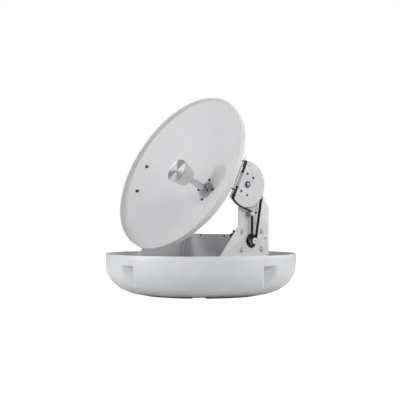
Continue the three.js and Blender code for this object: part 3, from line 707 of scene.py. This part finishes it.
def connector(node, x, y, radius):
    """A bulkhead socket through the floor: a threaded barrel, a flange and a six-sided nut."""
    top = DECK_FLOOR
    barrel = lathe([(0, 6.5), (radius - 2.6, 6.5), (radius - 2.6, 6.2), *threads(
        radius - 1.2, 6.2, 14, 1.1), (radius + 2.5, 14), (radius + 2.5, RECESS - GAP),
        (radius, RECESS - GAP), *threads(radius, RECESS, top + 9, 1.1, 0.3), (radius - 2.4, top + 9),
        (radius - 2.6, top + 3), (0, top + 3)], 40)
    pin = turned([(0, top + 2), (0.9, top + 2), (0.9, top + 8), (0, top + 8.6)], 0.2, 16)
    nut = hex_nut(radius * 2 + 5, radius - 0.4, top + 0.1, top + 4)
    fine(node, merged(barrel, pin, nut), at(UPRIGHT, x, y), 30)


def build_base():
    fine("lower_radome", lower_radome(), smooth=50)
    extra("radome_bosses", radome_bosses(), UPRIGHT, "radome_gelcoat", "base")
    foot = DECK_FLOOR + GAP
    post = turned([(6, foot), (40, foot), (40, foot + 5), (24, foot + 6.4), (14, foot + 6.4),
                   (14, 66), (6, 66)], 0.6)
    bolts = copies(lambda: socket_screw(3.2, 3, 1.5, 1), circle(0, 0, 33, 6), foot + 5)
    fine("azimuth_post", merged(post, bolts))
    holes = [circle(*polar((0, 0), 38, radians(60 * i + 30)), 9.5) for i in range(6)]
    wheel = plate(toothed(59.9, 0.9, 120), [circle(0, 0, 14.3, 64), *holes], 28, 36, 0.1)
    fine("azimuth_pulley", wheel, smooth=25)
    for i, z in ((1, 40), (2, 57)):
        under = [(14.3, 0), (16.2, 0), (16.2, 0.5), (17.9, 0.5), (17.9, 0), (19.7, 0)]
        race = [(r, z + up) for r, up in under] + [(r, z + 6 - up) for r, up in under[::-1]]
        fine(f"azimuth_bearing_{i}", lathe(race, 64))
    for node, radius in (("coax_connector", 5.5), ("power_connector", 8)):
        low, high = box_mm(node)
        connector(node, (low[0] + high[0]) / 2, (low[1] + high[1]) / 2, radius)


# ---- The turntable ----
def arm_outline():
    shoulder = arc((0, PIVOT_HEIGHT), -ARM_FRONT, radians(72), pi, 24)
    corners = rounded([(ARM_FRONT, ARM_CORNER), (ARM_TOE, ARM_TOE_HEIGHT), (ARM_TOE, ARM_BOTTOM),
                       (ARM_REAR, ARM_BOTTOM), (ARM_REAR, CHAMFER_FOOT), (CHAMFER_Y, CHAMFER_Z)], 3)
    return shoulder + corners


def build_arms():
    pivot = circle(0, PIVOT_HEIGHT, 9)
    holes = [circle(MOTOR_Y, MOTOR_Z, 18.3, 64)]
    holes += [upright_slot(y, z, 2.8, 3.8) for y, z in MOTOR_BOLTS]
    right = plate(arm_outline(), [pivot, *holes], ARM_INNER, ARM_OUTER, 0.45)
    fine("right_arm", right, SIDEWAYS)
    fine("left_arm", plate(arm_outline(), [pivot], -ARM_OUTER, -ARM_INNER, 0.45), SIDEWAYS)
    screws = [("panel_screw", 74.6, 150.3, 2.9, 1.9)]
    screws += [(f"foot_bolt_{i + 1}", y, 63, 3.6, 2.2) for i, y in enumerate((-70, -20, 40, 74))]
    for side, name, outward in ((1, "right", SIDEWAYS), (-1, "left", SIDEWAYS @ spin("Y", 180))):
        for label, y, z, radius, height in screws:
            base = at(outward, y * side, z, ARM_OUTER - 0.05)
            extra(f"{name}_{label}", pan_screw(radius, height), base, "steel")


def build_deck():
    half = ARM_INNER - GAP
    section = rounded([(-half, DECK_BOTTOM), (half, DECK_BOTTOM), (half, FLANGE_TOP),
                       (half - 3, FLANGE_TOP), (half - 3, DECK_TOP), (3 - half, DECK_TOP),
                       (3 - half, FLANGE_TOP), (-half, FLANGE_TOP)], 1.4, 4)
    channel = placed(plate(section, [], -80, 100, 0.3), TO_FRONT)
    openings = [circle(0, 0, 26.3, 96), circle(PINION_X, PINION_Y, 14, 64)]
    openings += [circle(x, -50, 22, 72) for x in (-95, 95)]
    drills = [plate(opening, [], 40, 60, 0.1) for opening in openings]
    fine("turntable_plate", cut(channel, *drills), smooth=30)
    collar = turned([(20, 39), (26, 39), (26, DECK_TOP + GAP), (42, DECK_TOP + GAP),
                     (42, DECK_TOP + 4), (27.5, DECK_TOP + 4), (26, DECK_TOP + 5.4), (26, 64),
                     (20, 64)], 0.5, 96)
    screws = copies(lambda: socket_screw(2.6, 2.6, 1.2, 1), circle(0, 0, 35, 6), DECK_TOP + 4)
    fine("turntable_hub", merged(collar, screws))


def build_rear_panel():
    half = ARM_INNER - GAP
    front, depth = ARM_REAR - 18, 3
    section = rounded([(-half, front), (depth - half, front), (depth - half, ARM_REAR - depth),
                       (half - depth, ARM_REAR - depth), (half - depth, front), (half, front),
                       (half, ARM_REAR), (-half, ARM_REAR)], 1.3, 4)
    sheet = plate(section, [], FLANGE_TOP + 1, PANEL_TOP, 0.35)
    skirt = softened(block(4 - half, half - 4, ARM_REAR - depth + 0.2, ARM_REAR - 0.2,
                           DECK_TOP + 0.4, FLANGE_TOP + 2), 0.3)
    skirt = cut(skirt, block(-40, 40, ARM_REAR - 10, ARM_REAR + 5, 52, 70))
    field = plate(rounded(rectangle(-146, 146, 80, PANEL_TOP - 9.5), 4), [], 0, 1.1, 0.5)
    # The raised field stands forward of the sheet, towards -Y.
    field = placed(field, TO_FRONT, y=ARM_REAR - depth + 0.1)
    fine("rear_panel", merged(sheet, skirt, field), smooth=30)
    forward = at(UPRIGHT, y=ARM_REAR - depth) @ TO_FRONT
    for i, x in enumerate((-152, -100, 0, 100, 152)):
        name = f"panel_screw_{i + 1}"
        height = PANEL_TOP - 5
        extra(name, pan_screw(2.7, 1.9), at(forward, x, height, -0.05), "black_steel")


def build_control_box():
    low, high = box_mm("control_box")
    (x0, y0, z0), (x1, y1, z1) = low, high
    wall = 2.5
    tray = cut(softened(block(x0, x1, y0, y1, z0, z1), 2, 3),
               block(x0 + wall, x1 - wall, y0 + wall, y1 + 5, z0 + wall, z1 - wall))
    vents = [block(x - 1.2, x + 1.2, y0 + 8, y1 - 8, z1 - 4, z1 + 2) for x in range(-60, 61, 8)]
    fine("control_box", cut(tray, *vents), smooth=30)
    (x0, y0, z0), (x1, y1, z1) = box_mm("control_box_lid")
    back = at(UPRIGHT, y=y1 - 2) @ TO_REAR
    # In this frame z points to the rear, x is X and y runs down.
    lid = plate(rounded(rectangle(x0, x1, -z1, -z0), 4), [], 0, 2, 0.5)
    ribs = [plate(upright_slot(x, -(z0 + z1) / 2, 1.6, 20), [], 1.2, 2.0 - 0.02, 0.3)
            for x in (-92, 92)]
    inner = softened(block(x0 + 3, x1 - 3, -z1 + 2.8, -z1 + 4.8, -4.6, 0.5), 0.3)
    holes = [plate(circle(x, -y, 1.5, 24), [], -1, 3.5, 0.1)
             for x in range(-60, 61, 10) for y in range(86, 107, 10)]
    fine("control_box_lid", merged(cut(lid, *holes), *ribs, inner), back, 30)
    corners = [(sx * (x1 - 7), z) for sx in (-1, 1) for z in (z0 + 7, z1 - 7)]
    for i, (x, z) in enumerate(corners):
        extra(f"lid_screw_{i + 1}", pan_screw(2.8, 1.7), at(back, x, -z, 1.95), "black_steel")
    (_, y0, z0), (_, y1, _) = low, high
    under = at(UPRIGHT, 0, (y0 + y1) / 2, z0) @ spin("X", 180)
    for i in range(2):
        barrel = turned([(0, -2), (6, -2), (6, 2), (4.4, 2), (4.4, 10), (3.4, 10), (3.4, 4),
                         (0, 4)], 0.3, 32)
        pin = turned([(0, 3), (0.7, 3), (0.7, 8), (0, 8.5)], 0.2, 12)
        extra(f"box_socket_{i + 1}", merged(barrel, pin), at(under, -60 + 22 * i), "brass")
    build_board()


def build_board():
    """The board stands upright in the box with its chips and can towards the lid."""
    (x0, y0, z0), (x1, y1, z1) = box_mm("control_board")
    mounts = [circle(sx * (x1 - 6), -(z0 + 6), 2, 24) for sx in (-1, 1)]
    back = at(UPRIGHT, y=y0) @ TO_REAR
    board = plate(rounded(rectangle(x0, x1, -z1, -z0), 1.5), mounts, 0, y1 - y0, 0.1)
    fine("control_board", board, back)
    chips = []
    for i in range(6):
        x, y = -80 + 30 * i, -z1 + 14 + 22 * (i % 2)
        chips.append(softened(block(x, x + 16 - 3 * (i % 3), y, y + 10, 1.6, 3.4), 0.3))
    extra("board_chips", merged(*chips), back, "black_plastic")
    can = softened(block(40, 86, -z0 - 26, -z0 - 8, 1.6, 8), 1, 3)
    extra("board_tuner_can", can, back, "steel")


def build_elevation_motor():
    inner = ARM_INNER - GAP
    y, z = MOTOR_Y, MOTOR_Z
    outline = rounded(rectangle(-40, 40, -30, 30), 5)
    bolts = [circle(by - y, bz - z, 2.6, 24) for by, bz in MOTOR_BOLTS]
    mount = plate(outline, [circle(0, 0, 20, 72), *bolts], inner - 3, inner, 0.3)
    fine("motor_plate", mount, at(SIDEWAYS, y, z))
    face = inner - 3.3
    low = box_mm("elevation_motor")[0][0]
    can_back = face - 35
    # The square can is a stack: an end bell, laminations set in a little, and a front flange.
    stack = [(can_back, can_back + 9, 27.0), (can_back + 8.8, face - 8.8, 26.2),
             (face - 9, face, 27.0)]
    pieces = [plate(rounded(rectangle(-half, half, -half, half), 4), [], start, end, 0.4)
              for start, end, half in stack]
    pieces.append(plate(rounded(rectangle(-19, 19, -19, 19), 5), [], low, can_back + 0.5, 0.8))
    bore = plate(circle(0, 0, 4), [], face - 8, face + 1, 0.1)
    recess = ring(7.5, 16.5, face - 1.6, face + 1, 0.1)
    pieces[2] = cut(pieces[2], bore, recess)
    pieces.append(ring(5.2, 7, face - 2.5, face - 0.1, 0.2, 48))
    fine("elevation_motor", merged(*pieces), at(SIDEWAYS, y, z))
    screws = copies(lambda: pan_screw(1.7, 1.2), circle(0, 0, 12, 4), face - 1.65)
    extra("motor_face_screws", screws, at(SIDEWAYS, y, z, turn=25), "steel")
    for i, (by, bz) in enumerate(MOTOR_BOLTS):
        screw = slotted_screw(3.2, 3.4, 3.9, 2.2, 9)
        turn = (25, 75, 10, 50)[i]
        base = at(SIDEWAYS, by, bz, ARM_OUTER + GAP, turn)
        fine(nearest("motor_screw", base), screw, base)


def build_idler():
    far, reach = (12, 3.4), 3.7
    lean = atan2(far[1], far[0])
    above, below = lean + pi / 2, lean + pi * 3 / 2
    lozenge = (arc((0, 0), reach, above, below, 16)
               + arc(far, reach, below, above + 2 * pi, 16))
    foot = ARM_OUTER + GAP
    stand = ring(0, 3.2, foot, 182.5, 0.2, 32)
    pin = ring(0, 2, foot, 182.5, 0.2, 32)
    link = plate(lozenge, [], 182, 184, 0.35)
    base = at(SIDEWAYS, IDLER_Y, IDLER_Z)
    fine("idler_bracket", merged(link, placed(stand, x=far[0], y=far[1]), pin), base)
    extra("idler_screw", socket_screw(2.9, 2.4, 1, 0.5), at(base, *far, 183.95), "black_steel")
    extra("idler_pin_head", pan_screw(2.0, 0.9), at(base, z=183.95), "steel")
    roller = turned([(2.3, 171), (6.2, 171), (6.2, 172), (5.6, 172.6), (5.6, 179.4), (6.2, 180),
                     (6.2, 181), (2.3, 181)], 0.25, 48)
    fine("idler_roller", roller, base)


def elevation_belt_path():
    """The straight runs of the belt, its turn round the drive pulley and over the idler."""
    sector, drive, idler = (0, PIVOT_HEIGHT), (MOTOR_Y, MOTOR_Z), (IDLER_Y, IDLER_Z)
    back = IDLER_RADIUS + BELT_THICKNESS / 2
    right = tangent_angle(sector, BELT_RADIUS, drive, DRIVE_RADIUS, 1)
    left = tangent_angle(sector, BELT_RADIUS, idler, -back, -1)
    rise = tangent_angle(drive, DRIVE_RADIUS, idler, -back, 1)
    clear = BELT_RADIUS + BELT_THICKNESS + 0.4
    lead = sqrt(clear ** 2 - BELT_RADIUS ** 2)
    return [
        polar(polar(sector, BELT_RADIUS, right), lead, right - pi / 2),
        *arc(drive, DRIVE_RADIUS, right, rise - 2 * pi, 24),
        *arc(idler, back, rise - pi, left + pi, 14),
        polar(polar(sector, BELT_RADIUS, left), lead, left + pi / 2),
    ]


def build_belts():
    low, high = BELT_INNER, BELT_OUTER
    run = belt_outline(elevation_belt_path(), BELT_THICKNESS, 0.75)
    fine("elevation_belt_run", plate(run, [], low, high, 0.12), SIDEWAYS, 25)
    tail = SECTOR_FLAT + GAP + BELT_THICKNESS / 2
    corner = asin(tail / BELT_RADIUS)
    round_rim = arc((0, 0), BELT_RADIUS, corner, -pi - corner, 90)
    path = [(21, tail), (48.5, tail), *round_rim, (-48.5, tail), (-17.5, tail)]
    arc_belt = belt_outline(path, BELT_THICKNESS, 0.0)
    fine("belt_arc", plate(arc_belt, [], low, high, 0.12), DISH_SIDEWAYS, 25)

    thickness = 1.6
    pulley, pinion = 60.3 + thickness / 2, 10.3 + thickness / 2
    centre, other = (0, 0), (PINION_X, PINION_Y)
    a = tangent_angle(centre, pulley, other, pinion, 1)
    b = tangent_angle(centre, pulley, other, pinion, -1)

    def loop(grow):
        return (arc(centre, pulley + grow, a - 2 * pi, b, 120)[::-1]
                + arc(other, pinion + grow, b, a, 30)[::-1])

    belt = plate(loop(thickness / 2), [loop(-thickness / 2)], 29, 35, 0.12)
    fine("azimuth_belt", belt, smooth=25)


def build_azimuth_motor():
    floor = DECK_TOP + GAP
    body = turned([(4.5, floor), (24, floor), (24, floor + 4), (22.6, floor + 5),
                   (22.6, 84), (24, 85), (24, 92), (21, 95), (4.5, 95)], 0.6, 72)
    lugs = [placed(softened(block(18, 29, -4, 4, floor, floor + 3), 0.8), spin("Z", 90 * i + 45))
            for i in range(4)]
    base = at(UPRIGHT, PINION_X, PINION_Y)
    fine("azimuth_motor", merged(body, *lugs), base)
    corners = [polar((0, 0), 26, radians(90 * i + 45)) for i in range(4)]
    screws = copies(lambda: pan_screw(2.4, 1.8), corners, floor + 2.95)
    extra("azimuth_motor_screws", screws, base, "steel")
    pinion = plate(toothed(10, 0.8, 20), [], 28, 36, 0.1)
    shaft = ring(0, 4, 35, 85, 0.4, 32)
    fine("azimuth_pinion", merged(pinion, shaft), base, 25)


def build_bearings():
    bush = turned(stepped(5.3, (12.5, ARM_INNER - 4, ARM_INNER - GAP),
                          (8.7, ARM_INNER - GAP, ARM_OUTER + 1)), 0.35)
    pivot = at(SIDEWAYS, 0, PIVOT_HEIGHT)
    fine("right_bearing", bush.copy(), pivot)
    fine("left_bearing", bush, pivot @ spin("Y", 180))


def build_elevation_pulley():
    low = box_mm("elevation_pulley")[0][0]
    top = box_mm("elevation_pulley")[1][0]
    inner, outer = BELT_INNER - GAP, BELT_OUTER + GAP
    hub = turned([(0, low), (3, low), (3, inner - 1.6), (8, inner - 1.6), (8, inner), (5, inner),
                  (5, outer), (8, outer), (8, top - 0.5), (7.4, top), (2.6, top),
                  (2.2, top - 0.7), (0, top - 0.7)], 0.25, 64)
    base = at(SIDEWAYS, MOTOR_Y, MOTOR_Z)
    fine("elevation_pulley", hub, base)
    socket = plate(hexagon(1.9), [], top - 1, top + 1, 0.05)
    grub = cut(ring(0, 2, top - 1, top - 0.2, 0.2, 32), socket)
    extra("pulley_grub_screw", grub, base, "grey_plastic", "elevation_pulley")


# ---- The dish ----
def build_reflector():
    inner = DISH_RADIUS - SKIN
    steps = 44
    radii = [BORE + (inner - BORE) * i / steps for i in range(steps + 1)]
    face = [(r, dish_depth(r)) for r in radii]
    edge = dish_depth(inner) + LIP
    back = [(r, z - SKIN * hypot(1, r / (2 * FOCAL))) for r, z in face]
    back[-1] = (DISH_RADIUS, back[-1][1] + 1.5)
    corners = [face[-2], face[-1], (inner, edge), (DISH_RADIUS, edge), back[-1], back[-2]]
    rim = rounded(corners, 1.2, 4, keep=lambda p: p in (corners[0], corners[-1]))
    profile = face[:-2] + rim + back[-3::-1]
    fine("reflector", lathe(profile, 224), DISH, 50)


def bracket():
    """A side bracket in the dish's sideways frame: a plate with a tongue, and a sloping flange."""
    inner, outer = BRACKET_INNER, BRACKET_OUTER
    low, high, top = -51, 53, 31
    start = pi - atan2(10, -low)
    end = 2 * pi + atan2(10, high)
    outline = [(low, top), *arc((0, 0), 54, start, end, 60), (high, top)]
    holes = [circle(0, 0, 5.3), *[circle(v, d, 1.8, 20) for v, d in SECTOR_SCREWS]]
    holes += [rounded(rectangle(a, b, 20, 27.5), 1.5) for a, b in ((-46, -21), (27, 47))]
    web = plate(outline, holes, inner, outer, 0.3)
    reach, base, slope = 198 - inner, 28, 0.724
    section = [(inner, base), (inner + reach, base + reach * slope),
               (inner + reach, base + reach * slope + 3), (inner, base + 3)]
    flange = plate(rounded(section, 0.6, 3), [], -high, -low, 0.3)
    # The flange's section is drawn in (u, d), and it runs along v.
    turn = Matrix(((0, 0, -1, 0), (0, 1, 0, 0), (1, 0, 0, 0), (0, 0, 0, 1)))
    return merged(web, placed(flange, turn))


def sector():
    """The belt's grooved half wheel, cut off by its flat and slit where the belt is clipped."""
    inner, outer, r = SECTOR_INNER, SECTOR_OUTER, SECTOR_RADIUS
    groove = BELT_RADIUS - BELT_THICKNESS / 2 - 0.3
    flange = BELT_OUTER + 0.15
    profile = [(5.3, inner), (groove, inner), (groove, flange), (r, flange), (r, flange + 0.3),
               (r - 2.6, outer), (5.3, outer)]
    wheel = lathe(rounded(profile, 0.15, 2), 160)
    off = block(-80, 80, SECTOR_FLAT, 90, inner - 5, outer + 5)
    slit = block(-38.6, -37.6, -11, 30, outer - 1.2, outer + 5)
    # Without its flange the lower end shows the belt lying over a smaller rim.
    bare = cut(block(-80, -12, -80, 80, flange - 0.1, outer + 5),
               plate(circle(0, 0, groove + 0.7, 160), [], inner - 5, outer + 10, 0.1))
    holes = [plate(circle(v, d, 1.8, 24), [], inner - 5, outer + 5, 0.1) for v, d in SECTOR_SCREWS]
    return cut(wheel, off, slit, bare, *holes)


def build_sector():
    fine("belt_sector", sector(), DISH_SIDEWAYS, 30)
    for i, (v, d) in enumerate(SECTOR_SCREWS):
        screw = pan_screw(2.9, 1.8, 1.5, 9.5)
        fine(f"sector_screw_{i + 1}", screw, at(DISH_SIDEWAYS, v, d, SECTOR_OUTER + GAP, 20 * i))
    for i, (v, d) in enumerate(((46, 15), (-47.5, 16))):
        rivet = pan_screw(1.9, 0.9)
        extra(f"sector_rivet_{i + 1}", rivet, at(DISH_SIDEWAYS, v, d, SECTOR_OUTER - 0.05), "steel",
              "dish")
    for node, v in (("belt_clamp_upper", 41), ("belt_clamp_lower", -40)):
        low = SECTOR_FLAT + 0.6 + BELT_THICKNESS
        high = low + 3.1
        clamp = softened(block(v - 6, v + 6, low, high, SECTOR_INNER, SECTOR_OUTER), 0.5)
        middle = (SECTOR_INNER + SECTOR_OUTER) / 2
        head = placed(socket_screw(2.2, 1.8, 0.9, 0.5), TO_REAR, x=v, y=high, z=middle)
        fine(node, merged(clamp, head), DISH_SIDEWAYS)


def build_brackets():
    fine("right_bracket", bracket(), DISH_SIDEWAYS, 30)
    fine("left_bracket", bracket(), DISH_LEFT, 30)
    for i, (u, v) in enumerate(DISH_BOLTS):
        head = turned([(0, 3.9), (2.4, 3.9), (4.2, 2.1), (4.2, 1.1), (1.9, 1.1), (1.9, -14.2),
                       (0, -14.6)], 0.3, 32)
        head = cut(head, *cross_recess(2.6, 3.9, 1.3))
        nut = hex_nut(7, 1.8, -14.2, -11.2)
        washer = ring(1.9, 4.3, -11.25, -10.7, 0.1, 32)
        base = on_dish(u, v)
        fine(nearest("dish_bolt", base), merged(head, nut, washer), base)


def build_pivots():
    def shaft(outer_end):
        inner = ARM_INNER - 4.3
        return turned([(0, inner - 3), (9, inner - 3), (9, inner), (5, inner),
                       (5, outer_end - 1), (4, outer_end), (1.6, outer_end),
                       (1.3, outer_end - 1.2), (0, outer_end - 1.4)], 0.25, 48)

    fine("right_pivot_shaft", shaft(SECTOR_OUTER + 4.4), DISH_SIDEWAYS)
    fine("left_pivot_shaft", shaft(BRACKET_OUTER + 4), DISH_LEFT)
    face = SECTOR_OUTER + GAP
    nut = turned([(5.3, face), (7.8, face), (7.8, face + 2.4), (6.9, face + 3.3), (5.3, face + 3.3)],
                 0.2, 64)
    notches = [placed(block(6.9, 9, -0.8, 0.8, face - 1, face + 5), spin("Z", 90 * k + 30))
               for k in range(4)]
    fine("pivot_ring", cut(nut, *notches), DISH_SIDEWAYS)


def build_feed_mount():
    """A flanged sleeve round the tube's root, split on one side and drawn up by a socket screw."""
    seat = COLLAR_SEAT
    steps = stepped(9.1, (22, seat, seat + 3.4), (14, seat + 3.4, seat + 11))
    collar = turned(steps, 0.5, 96)
    split = block(0, 30, -0.7, 0.7, seat + 4, seat + 30)
    lug = placed(ring(0, 4.2, 8, 13.4, 0.4, 40), SIDEWAYS, y=-4, z=seat + 6.4)
    fine("feed_collar", merged(cut(collar, split), lug), DISH, 30)
    base = at(DISH, 0, -4, seat + 6.4) @ SIDEWAYS
    extra("collar_screw", placed(socket_screw(2.6, 2.4, 1.2, 1), z=13.3), base, "black_steel", "dish")
    head = dish_depth(HUB_SCREW_RADIUS + 4) + 0.9
    for i in range(4):
        u, v = polar((0, 0), HUB_SCREW_RADIUS, i * pi / 2)
        screw = socket_screw(3.4, 2.6, 1.6, 10)
        fine(f"hub_screw_{i + 1}", placed(screw, z=head), at(DISH, u, v), 30)


def build_skew_drive():
    face = -36.6
    v = SKEW_PINION_V
    motor = turned([(2.3, face - 26), (8, face - 26), (10, face - 24), (10, face - 20),
                    (9.4, face - 19), (9.4, face - 6), (10, face - 5), (10, face), (2.3, face)],
                   0.4, 48)
    ear = softened(block(-9, 9, v + 6, 62, face - 3, face), 0.5)
    foot = dish_depth(56) - SKIN - 1
    leg = softened(block(-9, 9, 59, 62, face - 3, foot), 0.5)
    rib = softened(block(-1.2, 1.2, v + 9, 60, face - 9, face - 2.5), 0.4)
    fine("skew_motor", merged(placed(motor, y=v), ear, leg, rib), DISH)
    pinion = plate(toothed(7.7, 1.9, 14, phase=-3), [], -36, -31, 0.1)
    shaft = ring(0, 2, face - 20, -35.5, 0.2, 24)
    fine("skew_pinion", merged(pinion, shaft), at(DISH, 0, v), 25)


# ---- The feed ----
def build_feed():
    mouth = FEED_FACE - 3.3
    cone_back = mouth - CONE_LENGTH
    tube = ring(7, 8.5, -39.7, cone_back - 0.3, 0.3)
    bands = [ring(8.4, 9.0, z, z + 2.4, 0.2) for z in (cone_back - 6, 2)]
    fine("feed_tube", merged(tube, *bands), DISH)
    # The plastic cone has a round shoulder at the tube and a bead at its mouth.
    shoulder = arc((FEED_NECK - 6, cone_back + 6), 6, -pi / 2, 0, 8)
    cone = lathe([(0, cone_back), *shoulder, (FEED_CONE - 0.9, mouth - 3.2),
                  (FEED_CONE - 0.5, mouth - 2.6), (FEED_CONE - 0.5, mouth - 0.4),
                  (FEED_CONE - 0.9, mouth), (0, mouth)], 128)
    fine("dielectric_cone", cone, DISH)
    low, high = FEED_FACE - 3, FEED_FACE
    disc = turned([(0, low), (FEED_CONE, low), (FEED_CONE, high - 0.8), (FEED_CONE - 0.8, high),
                   (FEED_CONE - 2.5, high), (FEED_CONE - 3.4, high - 0.5), (4, high - 1.0),
                   (1.2, high - 1.6), (0, high - 1.6)], 0.25, 128)
    fine("sub_reflector", disc, DISH, 30)
    build_lnb()
    holes = [circle(*polar((0, 0), 19, radians(60 * k)), 4.5) for k in range(6)]
    gear = toothed(30.6, 1.6, 60, phase=0.5)
    fine("skew_gear", plate(gear, [circle(0, 0, 8.8, 64), *holes], -36, -31, 0.1), DISH, 25)


def build_lnb():
    """The low-noise block: a ribbed body with a waveguide neck and two threaded outputs."""
    back, front, radius = -74, -40, 25
    fins = []
    for i in range(3):
        z = back + 10 + 4.4 * i
        fins += [(radius, z), (radius, z + 2.2), (radius - 2.2, z + 2.7), (radius - 2.2, z + 3.9)]
    body = turned([(0, back), (radius - 11, back), *fins, (radius, front - 10), (16, front - 5),
                   (16, front), (0, front)], 0.5, 72)
    fine("lnb", body, DISH)
    for i, u in enumerate((-7, 7)):
        port = lathe([(0, 0.5), (5.2, 0.5), (5.2, -1.4), *threads(4.6, -8, -1.4, 0.9)[::-1],
                      (3.3, -8), (3.3, -2), (0, -2)], 32)
        extra(f"lnb_output_{i + 1}", port, at(DISH, u, 0, back), "brass", "feed")


# ---- Stage: light, floor and camera ----
LIGHTS = {
    # name: (azimuth and elevation of the light seen from the object, distance, width, power)
    "front": (0, 25, 1.9, 1.1, 10.0),
    "front_spot": (-18, 9, 1.9, 0.35, 8.0),
    "right_high": (75, 50, 1.9, 1.8, 9.0),
    "right": (110, 20, 1.9, 0.9, 9.5),
    "rear_right": (150, 20, 1.9, 0.9, 8.0),
    "rear": (200, 35, 1.9, 1.2, 7.0),
    "rear_left": (240, 30, 1.9, 1.2, 10.0),
    "left": (290, 25, 1.9, 0.9, 3.0),
}
AMBIENT = 0.18
CAMERA = {"place": (1.9164, -1.6223, 0.19665), "target": (-0.00136, -0.0016, 0.2475),
          "lens": 85.64}


def aimed(obj, place, target):
    obj.location = place
    obj.rotation_euler = (Vector(target) - Vector(place)).to_track_quat("-Z", "Y").to_euler()
    bpy.context.collection.objects.link(obj)
    return obj


def build_lights():
    middle = Vector((0, 0, 0.22))
    for name, (azimuth, elevation, distance, width, power) in LIGHTS.items():
        a, e = radians(azimuth), radians(elevation)
        away = Vector((sin(a) * cos(e), -cos(a) * cos(e), sin(e)))
        lamp = bpy.data.lights.new(name, "AREA")
        lamp.shape = "DISK"
        lamp.size = width
        lamp.energy = power
        aimed(bpy.data.objects.new(name, lamp), middle + away * distance, middle)


def build_world():
    """White where the camera looks past the object, and a dimmer even light everywhere else."""
    world = bpy.data.worlds.new("studio")
    bpy.context.scene.world = world
    world.use_nodes = True
    tree = world.node_tree
    background = tree.nodes["Background"]
    background.inputs["Color"].default_value = (1, 1, 1, 1)
    seen = tree.nodes.new("ShaderNodeLightPath").outputs["Is Camera Ray"]
    strength = tree.nodes.new("ShaderNodeMix")
    tree.links.new(seen, strength.inputs[0])
    strength.inputs[2].default_value = AMBIENT
    strength.inputs[3].default_value = 1.0
    tree.links.new(strength.outputs[0], background.inputs["Strength"])


def build_floor():
    """A pale floor that glows a little, so that it stays white under the object."""
    look = Nodes("floor")
    look.plain(Base_Color=(0.8, 0.8, 0.8, 1), Roughness=0.9, Specular_IOR_Level=0.1,
               Emission_Color=(1, 1, 1, 1))
    seen = look.add("ShaderNodeLightPath").outputs["Is Camera Ray"]
    look.tree.links.new(seen, look.shader.inputs["Emission Strength"])
    bm = bmesh.new()
    bmesh.ops.create_grid(bm, x_segments=1, y_segments=1, size=30)
    floor = mesh_object("floor", bm, look.material)
    floor.location.z = -0.0005


def build_camera():
    lens = bpy.data.cameras.new("camera")
    lens.lens = CAMERA["lens"]
    lens.sensor_width = 36
    camera = aimed(bpy.data.objects.new("camera", lens), CAMERA["place"], CAMERA["target"])
    bpy.context.scene.camera = camera


def dress_frame():
    """Every CAD node that still shows gets its finish."""
    for node, obj in frame["nodes"].items():
        for holder in obj.material_slots:
            holder.material = MATERIALS[SLOT_OF[node]]


def main():
    for build in (
            build_camera, build_world, build_lights, build_floor, dress_frame, build_base,
            build_arms, build_deck, build_rear_panel, build_control_box, build_elevation_motor,
            build_idler, build_belts, build_azimuth_motor, build_bearings, build_elevation_pulley,
            build_reflector, build_brackets, build_sector, build_pivots, build_feed_mount,
            build_skew_drive, build_feed):
        build()
    bpy.context.scene.view_settings.view_transform = "Standard"


main()
